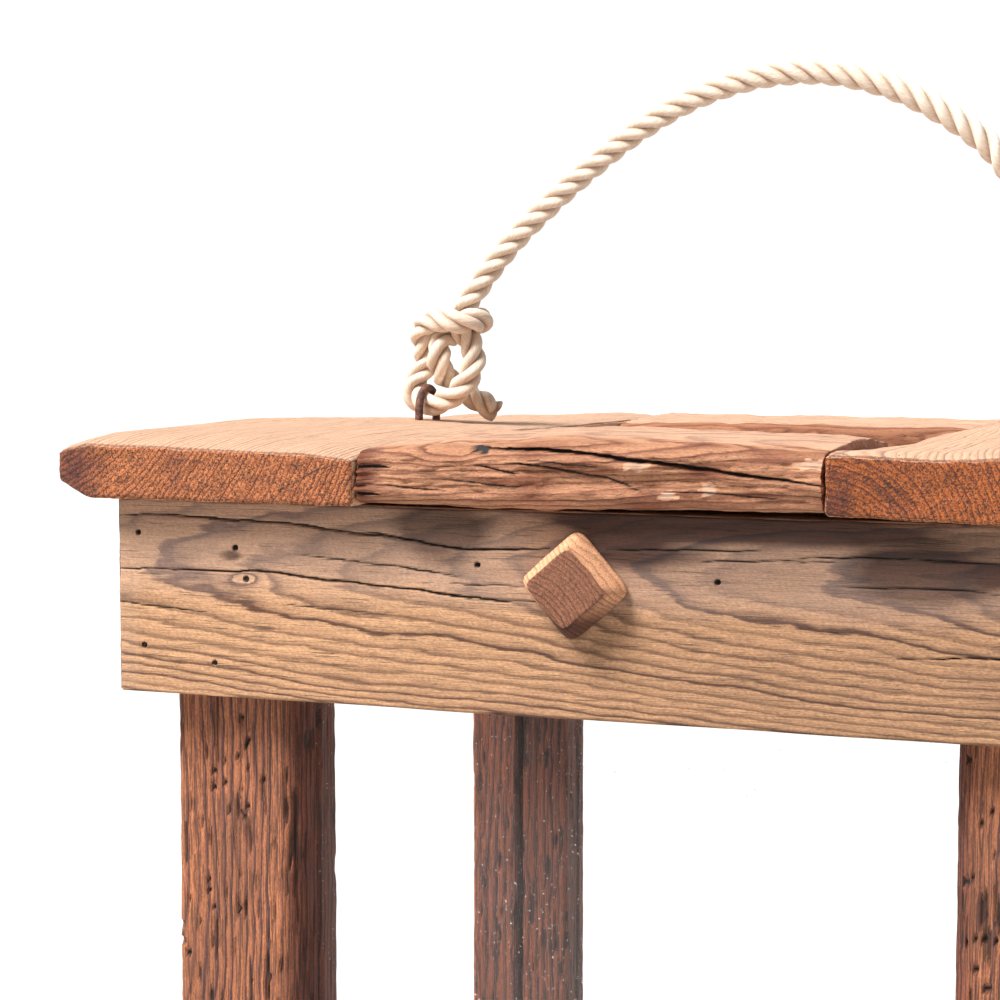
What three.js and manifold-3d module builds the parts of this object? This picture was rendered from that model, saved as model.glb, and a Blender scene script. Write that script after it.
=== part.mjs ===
// A large rustic hanging lantern: a square frame of reclaimed beams and posts, four glass panes,
// a board lid with a centre opening, and a rope handle knotted to two iron staples.
// Millimetres, +Z up, front = -Y. The origin is the middle of the underside.
import * as THREE from 'three';
import { mergeVertices } from 'three/addons/utils/BufferGeometryUtils.js';
import Module from 'manifold-3d';

const wasm = await Module();
wasm.setup();

// ---- Driving dimensions ----
const frameSide = 432; // outer side of the square of beams
const lidOverhang = 14; // lid beyond the beams, each side
const baseOverhang = 14; // base boards beyond the beams, each side
const clearHeight = 400; // open height between the lower and upper beams
const beamHeight = 84;
const beamThickness = 25;
const postWidth = 57; // along X
const postDepth = 37; // along Y
const postRebate = 6; // how far a beam is let into a post
const baseThickness = 24;
const sideBoardWidths = { left: 130, right: 136 }; // lid boards that run front to back
const frontBoardDepth = 130;
const backBoardDepth = 106;
const boardThickness = { left: 22, right: 25, front: 28, back: 18 };
const glassThickness = 4;
const grooveDepth = 8;
const cleatHeight = 50;
const cleatDepth = 38;
const pegShankRadius = 11;
const pegHeadWidth = 31; // across the flats of the head, where it meets the beam
const pegTipWidth = 22; // across the flats of the head's outer face
const pegProud = 13;
const pegCentre = { x: -9, drop: 29.5 }; // drop is measured down from the beams' top
const ropeDiameter = 12;
const stapleWire = 4;
const stapleWidth = 25;
const stapleProud = 19; // crown above the lid board
const stapleBite = 14; // leg length inside the board
const staplePlaces = { left: -160, right: 167 };
const knotSize = { x: 40, y: 30, z: 50 };
const knotShift = 10; // knot's middle, inwards from the staple
const nailRadius = 1.2;
const nailHeadRadius = 1.7; // a lost head, punched in
const nailHeadThickness = 1.4;
const nailLengths = { post: 42, corner: 58 };
const screwRadius = 2.2;
const screwHeadRadius = 4.6;
const screwBite = 13; // thread inside the lid board
const nailPoint = 5; // length of a nail's point
const screwPoint = 4;
const candleRadius = 40;
const candleHeight = 150;
const wickRadius = 1.2;
const wickHeight = 12;
const plateRadius = 62;
const plateThickness = 2;
const plateRim = 8;

// ---- Clearances ----
const gap = 0.3; // between faces that touch
const paneHeadroom = 8; // between a pane's top and the cleats' underside
const looseFit = 0.5; // glass and cleats, each side
const holeFit = 0.3; // round a nail, screw, staple or peg, on the radius

// ---- Heights and planes that follow from them ----
const half = frameSide / 2;
const lidHalf = half + lidOverhang;
const baseHalf = half + baseOverhang;
const lowerBeamZ = baseThickness + gap;
const upperBeamZ = lowerBeamZ + beamHeight + clearHeight;
const frameTop = upperBeamZ + beamHeight;
const lidUnder = frameTop + gap;
const postOuter = half - beamThickness + postRebate; // a post's two outer faces
const beamInner = half - beamThickness;
const sidePaneX = postOuter - postWidth / 2;
const frontPaneY = postOuter - postDepth / 2;
const paneTop = lidUnder - cleatHeight - paneHeadroom;
const openingX = { left: -lidHalf + sideBoardWidths.left, right: lidHalf - sideBoardWidths.right };
const openingY = { front: -lidHalf + frontBoardDepth, back: lidHalf - backBoardDepth };

// ---- Materials ----
const material = (color, roughness, metalness = 0) =>
  new THREE.MeshStandardMaterial({ color, roughness, metalness });
const lidWood = () => material(0xc08048, 0.8);
const beamWood = () => material(0x9c7550, 0.8);
const postWood = () => material(0x8a5534, 0.85);
const pegWood = () => material(0xa06c45, 0.75);
const iron = () => material(0x4a3530, 0.8, 0.6);
const cordFibre = () => material(0xe0cbb0, 0.95);
const paneGlass = () => {
  const glass = material(0xeef4f2, 0.08);
  glass.transparent = true;
  glass.opacity = 0.3;
  return glass;
};

// ---- Solids ----
// A closed solid from a three.js geometry: only positions stay, shared points are merged, and
// triangles that collapse to a line at a pole are dropped.
function solidOf(geometry) {
  const plain = geometry.clone();
  plain.deleteAttribute('normal');
  plain.deleteAttribute('uv');
  const merged = mergeVertices(plain, 1e-4);
  const index = merged.index.array;
  const kept = [];
  for (let i = 0; i < index.length; i += 3) {
    const [a, b, c] = [index[i], index[i + 1], index[i + 2]];
    if (a !== b && b !== c && c !== a) kept.push(a, b, c);
  }
  const vertProperties = new Float32Array(merged.attributes.position.array);
  return new wasm.Manifold(new wasm.Mesh({ numProp: 3, vertProperties, triVerts: new Uint32Array(kept) }));
}

function geometryOf(solid) {
  const mesh = solid.getMesh();
  const geometry = new THREE.BufferGeometry();
  geometry.setAttribute('position', new THREE.BufferAttribute(mesh.vertProperties, 3));
  geometry.setIndex(new THREE.BufferAttribute(mesh.triVerts, 1));
  geometry.computeVertexNormals();
  return geometry;
}

// Cuts every tool from a body, or joins them to it.
const cut = (body, tools) => tools.reduce((rest, tool) => rest.subtract(tool), body);
const join = (body, tools) => tools.reduce((whole, tool) => whole.add(tool), body);

function box(x, y, z) {
  const geometry = new THREE.BoxGeometry(x[1] - x[0], y[1] - y[0], z[1] - z[0]);
  geometry.translate((x[0] + x[1]) / 2, (y[0] + y[1]) / 2, (z[0] + z[1]) / 2);
  return solidOf(geometry);
}

// A round bar from a start point along an axis ('y' or 'z'). Its length may be negative.
function bar(radius, start, axis, length, sides = 16) {
  const geometry = new THREE.CylinderGeometry(radius, radius, Math.abs(length), sides);
  geometry.translate(0, Math.abs(length) / 2, 0);
  if (axis === 'y' && length < 0) geometry.rotateX(Math.PI);
  if (axis === 'z') geometry.rotateX(length > 0 ? Math.PI / 2 : -Math.PI / 2);
  geometry.translate(...start);
  return solidOf(geometry);
}

// A prism whose outline lies in the XZ plane and which runs along +Y between two values.
function prismAlongY(outline, from, to) {
  const shape = new THREE.Shape(outline.map(([x, z]) => new THREE.Vector2(x, z)));
  const geometry = new THREE.ExtrudeGeometry(shape, { depth: to - from, bevelEnabled: false });
  geometry.rotateX(Math.PI / 2);
  geometry.translate(0, to, 0);
  return solidOf(geometry);
}

// The same along +X, with the outline's first value as Y.
function prismAlongX(outline, from, to) {
  const shape = new THREE.Shape(outline.map(([y, z]) => new THREE.Vector2(y, z)));
  const geometry = new THREE.ExtrudeGeometry(shape, { depth: to - from, bevelEnabled: false });
  geometry.rotateX(Math.PI / 2);
  geometry.rotateZ(Math.PI / 2);
  geometry.translate(from, 0, 0);
  return solidOf(geometry);
}

// A tube of n sides along a curve.
function tube(curve, radius, steps, sides) {
  const ring = new THREE.Shape();
  for (let i = 0; i < sides; i++) {
    const turn = (i / sides) * 2 * Math.PI;
    const point = [radius * Math.cos(turn), radius * Math.sin(turn)];
    if (i === 0) ring.moveTo(...point);
    else ring.lineTo(...point);
  }
  ring.closePath();
  return solidOf(new THREE.ExtrudeGeometry(ring, { steps, extrudePath: curve, bevelEnabled: false }));
}

function piece(group, name, solid, finish) {
  const mesh = new THREE.Mesh(geometryOf(solid), finish);
  mesh.name = name;
  group.add(mesh);
  return mesh;
}

const lantern = new THREE.Group();
const [base, frame, glazing, lid, handle, candleSet] = Array.from({ length: 6 }, () => {
  const group = new THREE.Group();
  lantern.add(group);
  return group;
});
const ends = { front: -1, back: 1 };
const sides = { left: -1, right: 1 };

// ---- Base: three boards that run front to back under the lower beams ----
const baseBoardWidth = (2 * baseHalf - 2 * gap) / 3;
['left', 'middle', 'right'].forEach((place, i) => {
  const x0 = -baseHalf + i * (baseBoardWidth + gap);
  const board = box([x0, x0 + baseBoardWidth], [-baseHalf, baseHalf], [0, baseThickness]);
  piece(base, `base_board_${place}`, board, beamWood());
});

// ---- Nails: each is driven through a front or back beam, its head sunk flush ----
// A post nail bites a corner post, and a corner nail bites the end grain of a side beam.
const levels = { lower: lowerBeamZ, upper: upperBeamZ };
const nailDrops = { post: 69, corner: 63 }; // down from a beam's top
const nailX = { post: half - 46, corner: (half + beamInner) / 2 };

function nail(kind, extra) {
  const [shank, head] = [nailRadius + extra, nailHeadRadius + extra];
  const outline = [
    [0, 0],
    [head, 0],
    [head, nailHeadThickness + extra],
    [shank, nailHeadThickness + extra],
    [shank, nailLengths[kind] - nailPoint],
    [0, nailLengths[kind] + extra],
  ];
  return new THREE.LatheGeometry(outline.map(([r, y]) => new THREE.Vector2(r, y)), 12);
}

// The nail's hole: the same shape, a clearance larger, open at the beam's face.
function nailHole({ kind, x, end, z }) {
  const geometry = nail(kind, holeFit);
  geometry.translate(0, -gap, 0);
  if (end > 0) geometry.rotateZ(Math.PI);
  geometry.translate(x, end * half, z);
  return solidOf(geometry);
}

const nailSpots = [];
for (const [level, bottom] of Object.entries(levels)) {
  for (const [endName, end] of Object.entries(ends)) {
    for (const [sideName, side] of Object.entries(sides)) {
      for (const kind of ['post', 'corner']) {
        const x = side * nailX[kind];
        const z = bottom + beamHeight - nailDrops[kind];
        nailSpots.push({ name: `${kind}_nail_${level}_${endName}_${sideName}`, level, end, side, kind, x, z });
      }
    }
  }
}
for (const spot of nailSpots) {
  const mesh = piece(frame, spot.name, solidOf(nail(spot.kind, 0)), iron());
  mesh.position.set(spot.x, spot.end * half, spot.z);
  mesh.rotation.z = spot.end > 0 ? Math.PI : 0;
}
const holesWhere = (test) => nailSpots.filter(test).map(nailHole);

// ---- Beams: front and back run the full width, side beams sit between them ----
const pegZ = frameTop - pegCentre.drop;
const pegHoleDepth = beamThickness + cleatDepth + 10; // right through beam and cleat
const pegHole = (end) =>
  bar(pegShankRadius + holeFit, [pegCentre.x, end * (half + 1), pegZ], 'y', -end * pegHoleDepth, 24);
for (const [level, bottom] of Object.entries(levels)) {
  const z = [bottom, bottom + beamHeight];
  for (const [endName, end] of Object.entries(ends)) {
    const y = [end * beamInner, end * half].sort((a, b) => a - b);
    const holes = holesWhere((spot) => spot.level === level && spot.end === end);
    if (level === 'upper') holes.push(pegHole(end));
    piece(frame, `${level}_beam_${endName}`, cut(box([-half, half], y, z), holes), beamWood());
  }
  for (const [sideName, side] of Object.entries(sides)) {
    const x = [side * beamInner, side * half].sort((a, b) => a - b);
    const holes = holesWhere((spot) => spot.level === level && spot.side === side && spot.kind === 'corner');
    const beam = box(x, [-beamInner + gap, beamInner - gap], z);
    piece(frame, `${level}_beam_${sideName}`, cut(beam, holes), beamWood());
  }
}

// ---- Posts: rebated round both beams, with a groove for each of two panes ----
const grooveWidth = glassThickness + 2 * looseFit;
const postRound = 5; // the worn inner arris
for (const [endName, end] of Object.entries(ends)) {
  for (const [sideName, side] of Object.entries(sides)) {
    const at = (distance, sign) => distance * sign;
    const span = (a, b, sign) => [at(a, sign), at(b, sign)].sort((p, q) => p - q);
    const z = [lowerBeamZ, frameTop];
    const blank = box(span(postOuter, postOuter - postWidth, side), span(postOuter, postOuter - postDepth, end), z);
    const tools = [];
    for (const bottom of Object.values(levels)) {
      const reach = [bottom - gap, bottom + beamHeight + gap];
      tools.push(box(span(beamInner - gap, half, side), span(0, half, end), reach));
      tools.push(box(span(0, half, side), span(beamInner - gap, half, end), reach));
    }
    const grooveEnds = [0, lidUnder];
    const innerX = postOuter - postWidth;
    const innerY = postOuter - postDepth;
    const frontGroove = [frontPaneY - grooveWidth / 2, frontPaneY + grooveWidth / 2];
    const sideGroove = [sidePaneX - grooveWidth / 2, sidePaneX + grooveWidth / 2];
    tools.push(box(span(innerX - 1, innerX + grooveDepth, side), span(...frontGroove, end), grooveEnds));
    tools.push(box(span(...sideGroove, side), span(innerY - 1, innerY + grooveDepth, end), grooveEnds));
    tools.push(...holesWhere((spot) => spot.end === end && spot.side === side && spot.kind === 'post'));
    // Between the beams, the arris of the post's face towards the pane is worn round.
    const corner = box(
      span(innerX - 1, innerX + postRound, side),
      span(postOuter - postRound, postOuter + 1, end),
      [lowerBeamZ + beamHeight + gap, upperBeamZ - gap],
    );
    const round = bar(postRound, [at(innerX + postRound, side), at(postOuter - postRound, end), 0], 'z', lidUnder);
    tools.push(cut(corner, [round]));
    piece(frame, `post_${endName}_${sideName}`, cut(blank, tools), postWood());
  }
}

// ---- Glazing: each pane stands on the base boards in the grooves of two posts ----
const paneHeight = paneTop - lowerBeamZ;
const seat = grooveDepth - looseFit;
const frontPaneWidth = 2 * (postOuter - postWidth + seat);
const sidePaneWidth = 2 * (postOuter - postDepth + seat);
for (const [endName, end] of Object.entries(ends)) {
  const pane = solidOf(new THREE.BoxGeometry(frontPaneWidth, glassThickness, paneHeight));
  piece(glazing, `glass_${endName}`, pane, paneGlass()).position.set(0, end * frontPaneY, lowerBeamZ + paneHeight / 2);
}
for (const [sideName, side] of Object.entries(sides)) {
  const pane = solidOf(new THREE.BoxGeometry(glassThickness, sidePaneWidth, paneHeight));
  piece(glazing, `glass_${sideName}`, pane, paneGlass()).position.set(side * sidePaneX, 0, lowerBeamZ + paneHeight / 2);
}

// ---- Lid cleats: cross bars under the lid, behind the front and back beams ----
const cleatHalfLength = postOuter - postWidth - looseFit;
const cleatOuter = beamInner - looseFit;
const screwY = cleatOuter - cleatDepth / 2;
const openingMiddle = (openingX.left + openingX.right) / 2;
const screwPlaces = { left: -cleatHalfLength + 17, middle: openingMiddle + 50, right: cleatHalfLength - 17 };
const screwLength = cleatHeight + screwBite;
function screw(extra) {
  const [shank, head] = [screwRadius + extra, screwHeadRadius + extra];
  const taper = screwHeadRadius - screwRadius;
  const outline = [
    [0, 0],
    [head, 0],
    [shank, taper + extra],
    [shank, screwLength - screwPoint],
    [0, screwLength + extra],
  ];
  return new THREE.LatheGeometry(outline.map(([r, y]) => new THREE.Vector2(r, y)), 12).rotateX(Math.PI / 2);
}
const screwFoot = lidUnder - gap - cleatHeight;
const screwHoles = {};
for (const [endName, end] of Object.entries(ends)) {
  screwHoles[endName] = {};
  for (const [place, x] of Object.entries(screwPlaces)) {
    screwHoles[endName][place] = solidOf(screw(holeFit).translate(x, end * screwY, screwFoot - gap));
    const mesh = piece(lid, `cleat_screw_${endName}_${place}`, solidOf(screw(0)), iron());
    mesh.position.set(x, end * screwY, screwFoot);
  }
  const y = [end * (cleatOuter - cleatDepth), end * cleatOuter].sort((a, b) => a - b);
  const bars = box([-cleatHalfLength, cleatHalfLength], y, [screwFoot, lidUnder - gap]);
  const holes = [pegHole(end), ...Object.values(screwHoles[endName])];
  piece(lid, `lid_cleat_${endName}`, cut(bars, holes), beamWood());
}

// ---- Staples: an iron wire arch driven into each side board ----
const boardTop = (side) => lidUnder + boardThickness[side];
function stapleShape(side, extra) {
  const reach = stapleWidth / 2;
  const top = boardTop(side) + stapleProud - stapleWire / 2;
  const foot = boardTop(side) - stapleBite - extra;
  const points = [[-reach, foot], [-reach, (foot + top) / 2]];
  for (let i = 0; i <= 8; i++) {
    const turn = Math.PI - (i / 8) * Math.PI;
    points.push([reach * Math.cos(turn), top - reach + reach * Math.sin(turn)]);
  }
  points.push([reach, (foot + top) / 2], [reach, foot]);
  const curve = new THREE.CatmullRomCurve3(points.map(([y, z]) => new THREE.Vector3(0, y, z)), false, 'centripetal');
  return tube(curve, stapleWire / 2 + extra, 28, 8).translate([staplePlaces[side], 0, 0]);
}
for (const side of Object.keys(sides)) piece(lid, `staple_${side}`, stapleShape(side, 0), iron());

// ---- Lid boards: two run front to back, two are butted between them round the opening ----
// Outlines are hewn: the outer edge of a side board is a blunt nose, and the top is slightly crowned.
function sideBoardOutline(side) {
  const t = boardThickness[side];
  const outer = lidHalf;
  const inner = lidHalf - sideBoardWidths[side];
  return [
    [inner, lidUnder],
    [outer - 10, lidUnder],
    [outer, lidUnder + 0.4 * t],
    [outer, lidUnder + 0.7 * t],
    [outer - 16, lidUnder + t],
    [inner + 25, lidUnder + t],
    [inner, lidUnder + 0.9 * t],
  ];
}
for (const [name, side] of Object.entries(sides)) {
  const outline = sideBoardOutline(name).map(([x, z]) => [side * x, z]);
  if (side < 0) outline.reverse();
  const holes = [stapleShape(name, holeFit), screwHoles.front[name], screwHoles.back[name]];
  piece(lid, `lid_board_${name}`, cut(prismAlongY(outline, -lidHalf, lidHalf), holes), lidWood());
}
const crossSpan = [openingX.left + gap, openingX.right - gap];
const frontBoard = prismAlongX(
  [
    [-lidHalf + 4, lidUnder],
    [openingY.front, lidUnder],
    [openingY.front, lidUnder + boardThickness.front - 2],
    [openingY.front - 45, lidUnder + boardThickness.front],
    [-lidHalf + 20, lidUnder + boardThickness.front - 3],
    [-lidHalf + 3, lidUnder + boardThickness.front - 10],
    [-lidHalf, lidUnder + 9],
  ],
  ...crossSpan,
);
piece(lid, 'lid_board_front', cut(frontBoard, [screwHoles.front.middle]), lidWood());
const backBoard = prismAlongX(
  [
    [openingY.back, lidUnder],
    [lidHalf - 4, lidUnder],
    [lidHalf, lidUnder + 6],
    [lidHalf, lidUnder + boardThickness.back - 5],
    [lidHalf - 8, lidUnder + boardThickness.back],
    [openingY.back, lidUnder + boardThickness.back],
  ],
  ...crossSpan,
);
piece(lid, 'lid_board_back', cut(backBoard, [screwHoles.back.middle]), lidWood());

// ---- Pegs: a square head turned on its corner, on a round shank that pins a beam to its cleat ----
const shankLength = beamThickness + looseFit + cleatDepth - 2;
const acrossCorners = (flats) => flats / Math.SQRT2;
function peg() {
  const head = new THREE.CylinderGeometry(acrossCorners(pegHeadWidth), acrossCorners(pegTipWidth), pegProud, 4);
  head.translate(0, -pegProud / 2 - gap, 0);
  const shank = bar(pegShankRadius, [0, -gap - 1, 0], 'y', shankLength + 1 + gap, 24);
  return join(solidOf(head), [shank]);
}
for (const [endName, end] of Object.entries(ends)) {
  const mesh = piece(frame, `peg_${endName}`, peg(), pegWood());
  mesh.position.set(pegCentre.x, end * half, pegZ);
  mesh.rotation.z = end > 0 ? Math.PI : 0;
}

// ---- Rope handle: an arch between two knots, each tied through its staple ----
const knotMiddle = (name, side) => [
  staplePlaces[name] - side * knotShift,
  0,
  boardTop(name) + 7 + knotSize.z / 2,
];
function knotBlob(name, side, grow) {
  const ball = new THREE.SphereGeometry(1, 20, 14).rotateX(Math.PI / 2);
  ball.scale(knotSize.x / 2 + grow, knotSize.y / 2 + grow, knotSize.z / 2 + grow);
  return solidOf(ball.translate(...knotMiddle(name, side)));
}
// The free end leaves the knot on its inner side and droops onto the board.
function ropeTail(name, side) {
  const [x, y, z] = knotMiddle(name, side);
  const rest = boardTop(name) + ropeDiameter / 2 + 1;
  const curve = new THREE.CatmullRomCurve3([
    new THREE.Vector3(x, y, z - 10),
    new THREE.Vector3(x - side * 14, y, rest + 5),
    new THREE.Vector3(x - side * 30, y, rest),
  ]);
  return tube(curve, ropeDiameter / 2, 5, 10);
}
for (const [name, side] of Object.entries(sides)) {
  const blob = join(knotBlob(name, side, 0), [ropeTail(name, side)]);
  piece(handle, `rope_knot_${name}`, cut(blob, [stapleShape(name, holeFit)]), cordFibre());
}
// The stiff arch leans a little to the right. Points are X, then height above the lid's underside.
const archPoints = [
  [-146, 62],
  [-139, 82],
  [-131, 94],
  [-114, 113],
  [-96, 130],
  [-78, 145],
  [-52, 164],
  [-22, 180],
  [10, 189],
  [40, 190],
  [70, 183],
  [98, 169],
  [120, 152],
  [137, 130],
  [148, 106],
  [154, 82],
  [156, 62],
];
const archCurve = new THREE.CatmullRomCurve3(archPoints.map(([x, z]) => new THREE.Vector3(x, 0, lidUnder + z)));
const arch = tube(archCurve, ropeDiameter / 2, 26, 10);
const knotRooms = Object.entries(sides).map(([name, side]) => knotBlob(name, side, gap));
piece(handle, 'rope_arch', cut(arch, knotRooms), cordFibre());

// ---- Candle: a pillar on an iron plate that stands on the base boards ----
const turned = (outline, around = 40) =>
  solidOf(new THREE.LatheGeometry(outline.map(([r, z]) => new THREE.Vector2(r, z)), around).rotateX(Math.PI / 2));
const plateFoot = baseThickness + gap;
const plate = turned([
  [0, 0],
  [plateRadius - 6, 0],
  [plateRadius, plateRim],
  [plateRadius - plateThickness, plateRim],
  [plateRadius - 6 - plateThickness, plateThickness],
  [0, plateThickness],
]);
piece(candleSet, 'candle_plate', plate, material(0x3c3834, 0.6, 0.7)).position.z = plateFoot;
const candleFoot = plateFoot + plateThickness + gap;
const wickSink = 20;
const candleBody = turned([
  [0, 0],
  [candleRadius, 0],
  [candleRadius, candleHeight - 3],
  [candleRadius - 3, candleHeight],
  [candleRadius - 12, candleHeight - 1],
  [0, candleHeight - 4],
]);
const wickFoot = candleHeight - 4 - wickSink;
const wickHole = bar(wickRadius + holeFit, [0, 0, wickFoot - gap], 'z', wickSink + 10, 10);
piece(candleSet, 'candle', cut(candleBody, [wickHole]), material(0xf2e6cc, 0.5)).position.z = candleFoot;
const wick = bar(wickRadius, [0, 0, 0], 'z', wickSink + wickHeight, 10);
piece(candleSet, 'candle_wick', wick, material(0x2a2622, 0.9)).position.z = candleFoot + wickFoot;

export default lantern;
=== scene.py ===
import math

import bpy
import numpy as np
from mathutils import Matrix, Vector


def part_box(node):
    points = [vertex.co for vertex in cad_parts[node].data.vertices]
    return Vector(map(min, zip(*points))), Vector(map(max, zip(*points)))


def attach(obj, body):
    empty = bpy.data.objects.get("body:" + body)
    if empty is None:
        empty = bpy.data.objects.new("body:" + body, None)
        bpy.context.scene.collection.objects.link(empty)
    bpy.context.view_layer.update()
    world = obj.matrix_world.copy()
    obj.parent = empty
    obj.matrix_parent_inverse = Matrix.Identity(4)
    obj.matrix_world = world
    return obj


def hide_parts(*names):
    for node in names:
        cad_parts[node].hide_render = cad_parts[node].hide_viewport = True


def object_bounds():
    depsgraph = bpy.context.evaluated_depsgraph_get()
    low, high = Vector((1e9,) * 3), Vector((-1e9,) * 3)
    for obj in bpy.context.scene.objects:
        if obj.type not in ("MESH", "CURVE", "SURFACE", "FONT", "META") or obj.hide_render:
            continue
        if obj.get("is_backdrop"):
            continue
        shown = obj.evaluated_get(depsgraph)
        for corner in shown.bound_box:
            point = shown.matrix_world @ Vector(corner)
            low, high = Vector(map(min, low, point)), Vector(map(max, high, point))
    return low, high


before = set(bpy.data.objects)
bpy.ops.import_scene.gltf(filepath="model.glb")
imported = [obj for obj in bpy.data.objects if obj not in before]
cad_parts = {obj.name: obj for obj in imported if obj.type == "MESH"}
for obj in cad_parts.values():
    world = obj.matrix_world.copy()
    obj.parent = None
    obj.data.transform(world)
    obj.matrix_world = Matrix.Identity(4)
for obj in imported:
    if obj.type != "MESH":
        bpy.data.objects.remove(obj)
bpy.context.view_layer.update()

# A large rustic hanging lantern of reclaimed softwood. Metres, +Z up, the front is -Y.
# Each section makes one piece, or a group of like pieces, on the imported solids' places. Shapes
# are worked out in mm, with heights from the lid's underside, and then put in the frame.
lid_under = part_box("lid_board_left")[0][2]
mm = 0.001
to_frame = np.array([0, 0, lid_under])


# ---- Camera: a long lens a little above the lid, turned to see the front and a bit of the right
camera_data = bpy.data.cameras.new("camera")
camera_data.lens = 85
camera_data.sensor_width = 36
camera = bpy.data.objects.new("camera", camera_data)
camera.location = (0.2867, -1.102, lid_under + 0.0831)
camera.rotation_euler = (math.pi / 2 - 0.0842, 0, 0.3545)
bpy.context.scene.collection.objects.link(camera)
bpy.context.scene.camera = camera
bpy.context.scene.view_settings.view_transform = "Standard"


# ---- Rope handle: three-strand natural fibre cord, right-hand laid, 12 mm thick
# Each end goes through its staple, hitches round the standing part and down through its own
# loop. The arch between the knots stands by its own stiffness.
def linear(code):
    """An sRGB hex colour as linear RGBA."""
    parts = np.array([int(code[i : i + 2], 16) for i in (1, 3, 5)]) / 255
    wide = np.where(parts <= 0.04045, parts / 12.92, ((parts + 0.055) / 1.055) ** 2.4)
    return (*wide.tolist(), 1.0)


def feed(node, inputs):
    """Gives a node's inputs, in order or by name, each a value, a hex colour or an output."""
    for key, value in inputs.items() if isinstance(inputs, dict) else enumerate(inputs):
        if isinstance(value, bpy.types.NodeSocket):
            node.id_data.links.new(value, node.inputs[key])
        else:
            node.inputs[key].default_value = linear(value) if isinstance(value, str) else value


def add(tree, kind, inputs=(), output=0, **settings):
    """Adds a node, whose kind may be followed by its operation, with its settings and inputs.
    Gives one of its outputs."""
    kind, _, operation = kind.partition(" ")
    made = tree.nodes.new("ShaderNode" + kind)
    for key, value in {**settings, **({"operation": operation} if operation else {})}.items():
        setattr(made, key, value)
    feed(made, inputs)
    return made.outputs[output]


def graded(ramp, *stops):
    """Places a ramp's stops, each a position and a hex colour or a level of grey."""
    row = ramp.node.color_ramp.elements
    for position, _ in stops[1:-1]:
        row.new(position)
    for stop, (position, tone) in zip(row, stops):
        stop.position = position
        stop.color = linear(tone) if isinstance(tone, str) else (tone, tone, tone, 1)
    return ramp


def new_material(name):
    """An empty node material, its tree and its Principled shader."""
    made = bpy.data.materials.new(name)
    made.use_nodes = True
    return made, made.node_tree, made.node_tree.nodes["Principled BSDF"]


def new_piece(name, points, faces, material, body, replaced, fields=()):
    """A smooth-shaded mesh piece, with named values on its points, that rides on a body."""
    mesh = bpy.data.meshes.new(name)
    mesh.from_pydata((points * mm + to_frame).tolist(), [], np.asarray(faces, object).tolist())
    mesh.polygons.foreach_set("use_smooth", np.ones(len(mesh.polygons), bool))
    for key, values in dict(fields).items():
        field = mesh.attributes.new(key, "FLOAT", "POINT")
        field.data.foreach_set("value", values.astype(np.float32))
    mesh.materials.append(material)
    piece = bpy.data.objects.new(name, mesh)
    bpy.context.scene.collection.objects.link(piece)
    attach(piece, body)
    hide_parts(*replaced)
    return piece


def smooth_path(points, step):
    """A smooth curve through the points, as points one step apart: cubic pieces whose slope at
    each point is that of the chord between its neighbours."""
    points = np.asarray(points, float)
    knots = np.r_[0, np.cumsum(np.linalg.norm(np.diff(points, axis=0), axis=1) ** 0.5)]
    slope = np.gradient(points, knots, axis=0)
    fine = np.linspace(0, knots[-1], 40 * len(points))
    i = np.clip(np.searchsorted(knots, fine, "right") - 1, 0, len(points) - 2)
    width = (knots[i + 1] - knots[i])[:, None]
    t = (fine - knots[i])[:, None] / width
    curve = (
        (1 + 2 * t) * (1 - t) ** 2 * points[i]
        + t * (1 - t) ** 2 * width * slope[i]
        + t**2 * (3 - 2 * t) * points[i + 1]
        + t**2 * (t - 1) * width * slope[i + 1]
    )
    run = np.r_[0, np.cumsum(np.linalg.norm(np.diff(curve, axis=0), axis=1))]
    even = np.linspace(0, run[-1], max(2, round(run[-1] / step) + 1))
    return np.stack([np.interp(even, run, curve[:, k]) for k in range(3)], axis=1)


def carried_frames(path):
    """The direction along the path and two square to it at each of its points, carried along
    without twisting."""
    along = np.gradient(path, axis=0)
    along /= np.linalg.norm(along, axis=1, keepdims=True)
    first = np.cross(along[0], [0.3, 1.0, 0.1])
    rows = [first / np.linalg.norm(first)]
    for direction in along[1:]:
        turned = rows[-1] - direction * (rows[-1] @ direction)
        rows.append(turned / np.linalg.norm(turned))
    side = np.array(rows)
    return along, side, np.cross(along, side)


def rings(line, radius, sides, one, two):
    """A ring about each point of a line: the point + radius x (cos t x one + sin t x two)."""
    around = np.linspace(0, 2 * math.pi, sides, endpoint=False)[None, :, None]
    return line[:, None] + radius * (np.cos(around) * one[:, None] + np.sin(around) * two[:, None])


def tube_faces(rows, sides, start=0):
    """Quads between the rings of a tube, and a fan that closes each end on its own point, which
    comes after the rings."""
    ring, side = np.meshgrid(np.arange(rows - 1), np.arange(sides), indexing="ij")
    a = start + ring * sides + side
    b = start + ring * sides + (side + 1) % sides
    quads = np.stack([a, b, b + sides, a + sides], axis=-1).reshape(-1, 4).tolist()
    first = start + rows * sides
    loop = np.arange(sides)
    after = (loop + 1) % sides
    top = start + (rows - 1) * sides
    quads += np.stack([np.full(sides, first), start + after, start + loop], 1).tolist()
    quads += np.stack([np.full(sides, first + 1), top + loop, top + after], 1).tolist()
    return quads


rope_diameter = 12.0
rope_lay = 32.0  # one full turn of a strand
strand_radius, strand_offset, strand_sides, yarns = 3.2, 3.05, 34, 8
staple_left, staple_right = -160.0, 167.0
board_left, board_right = 22.0, 25.0  # the side boards' tops
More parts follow.
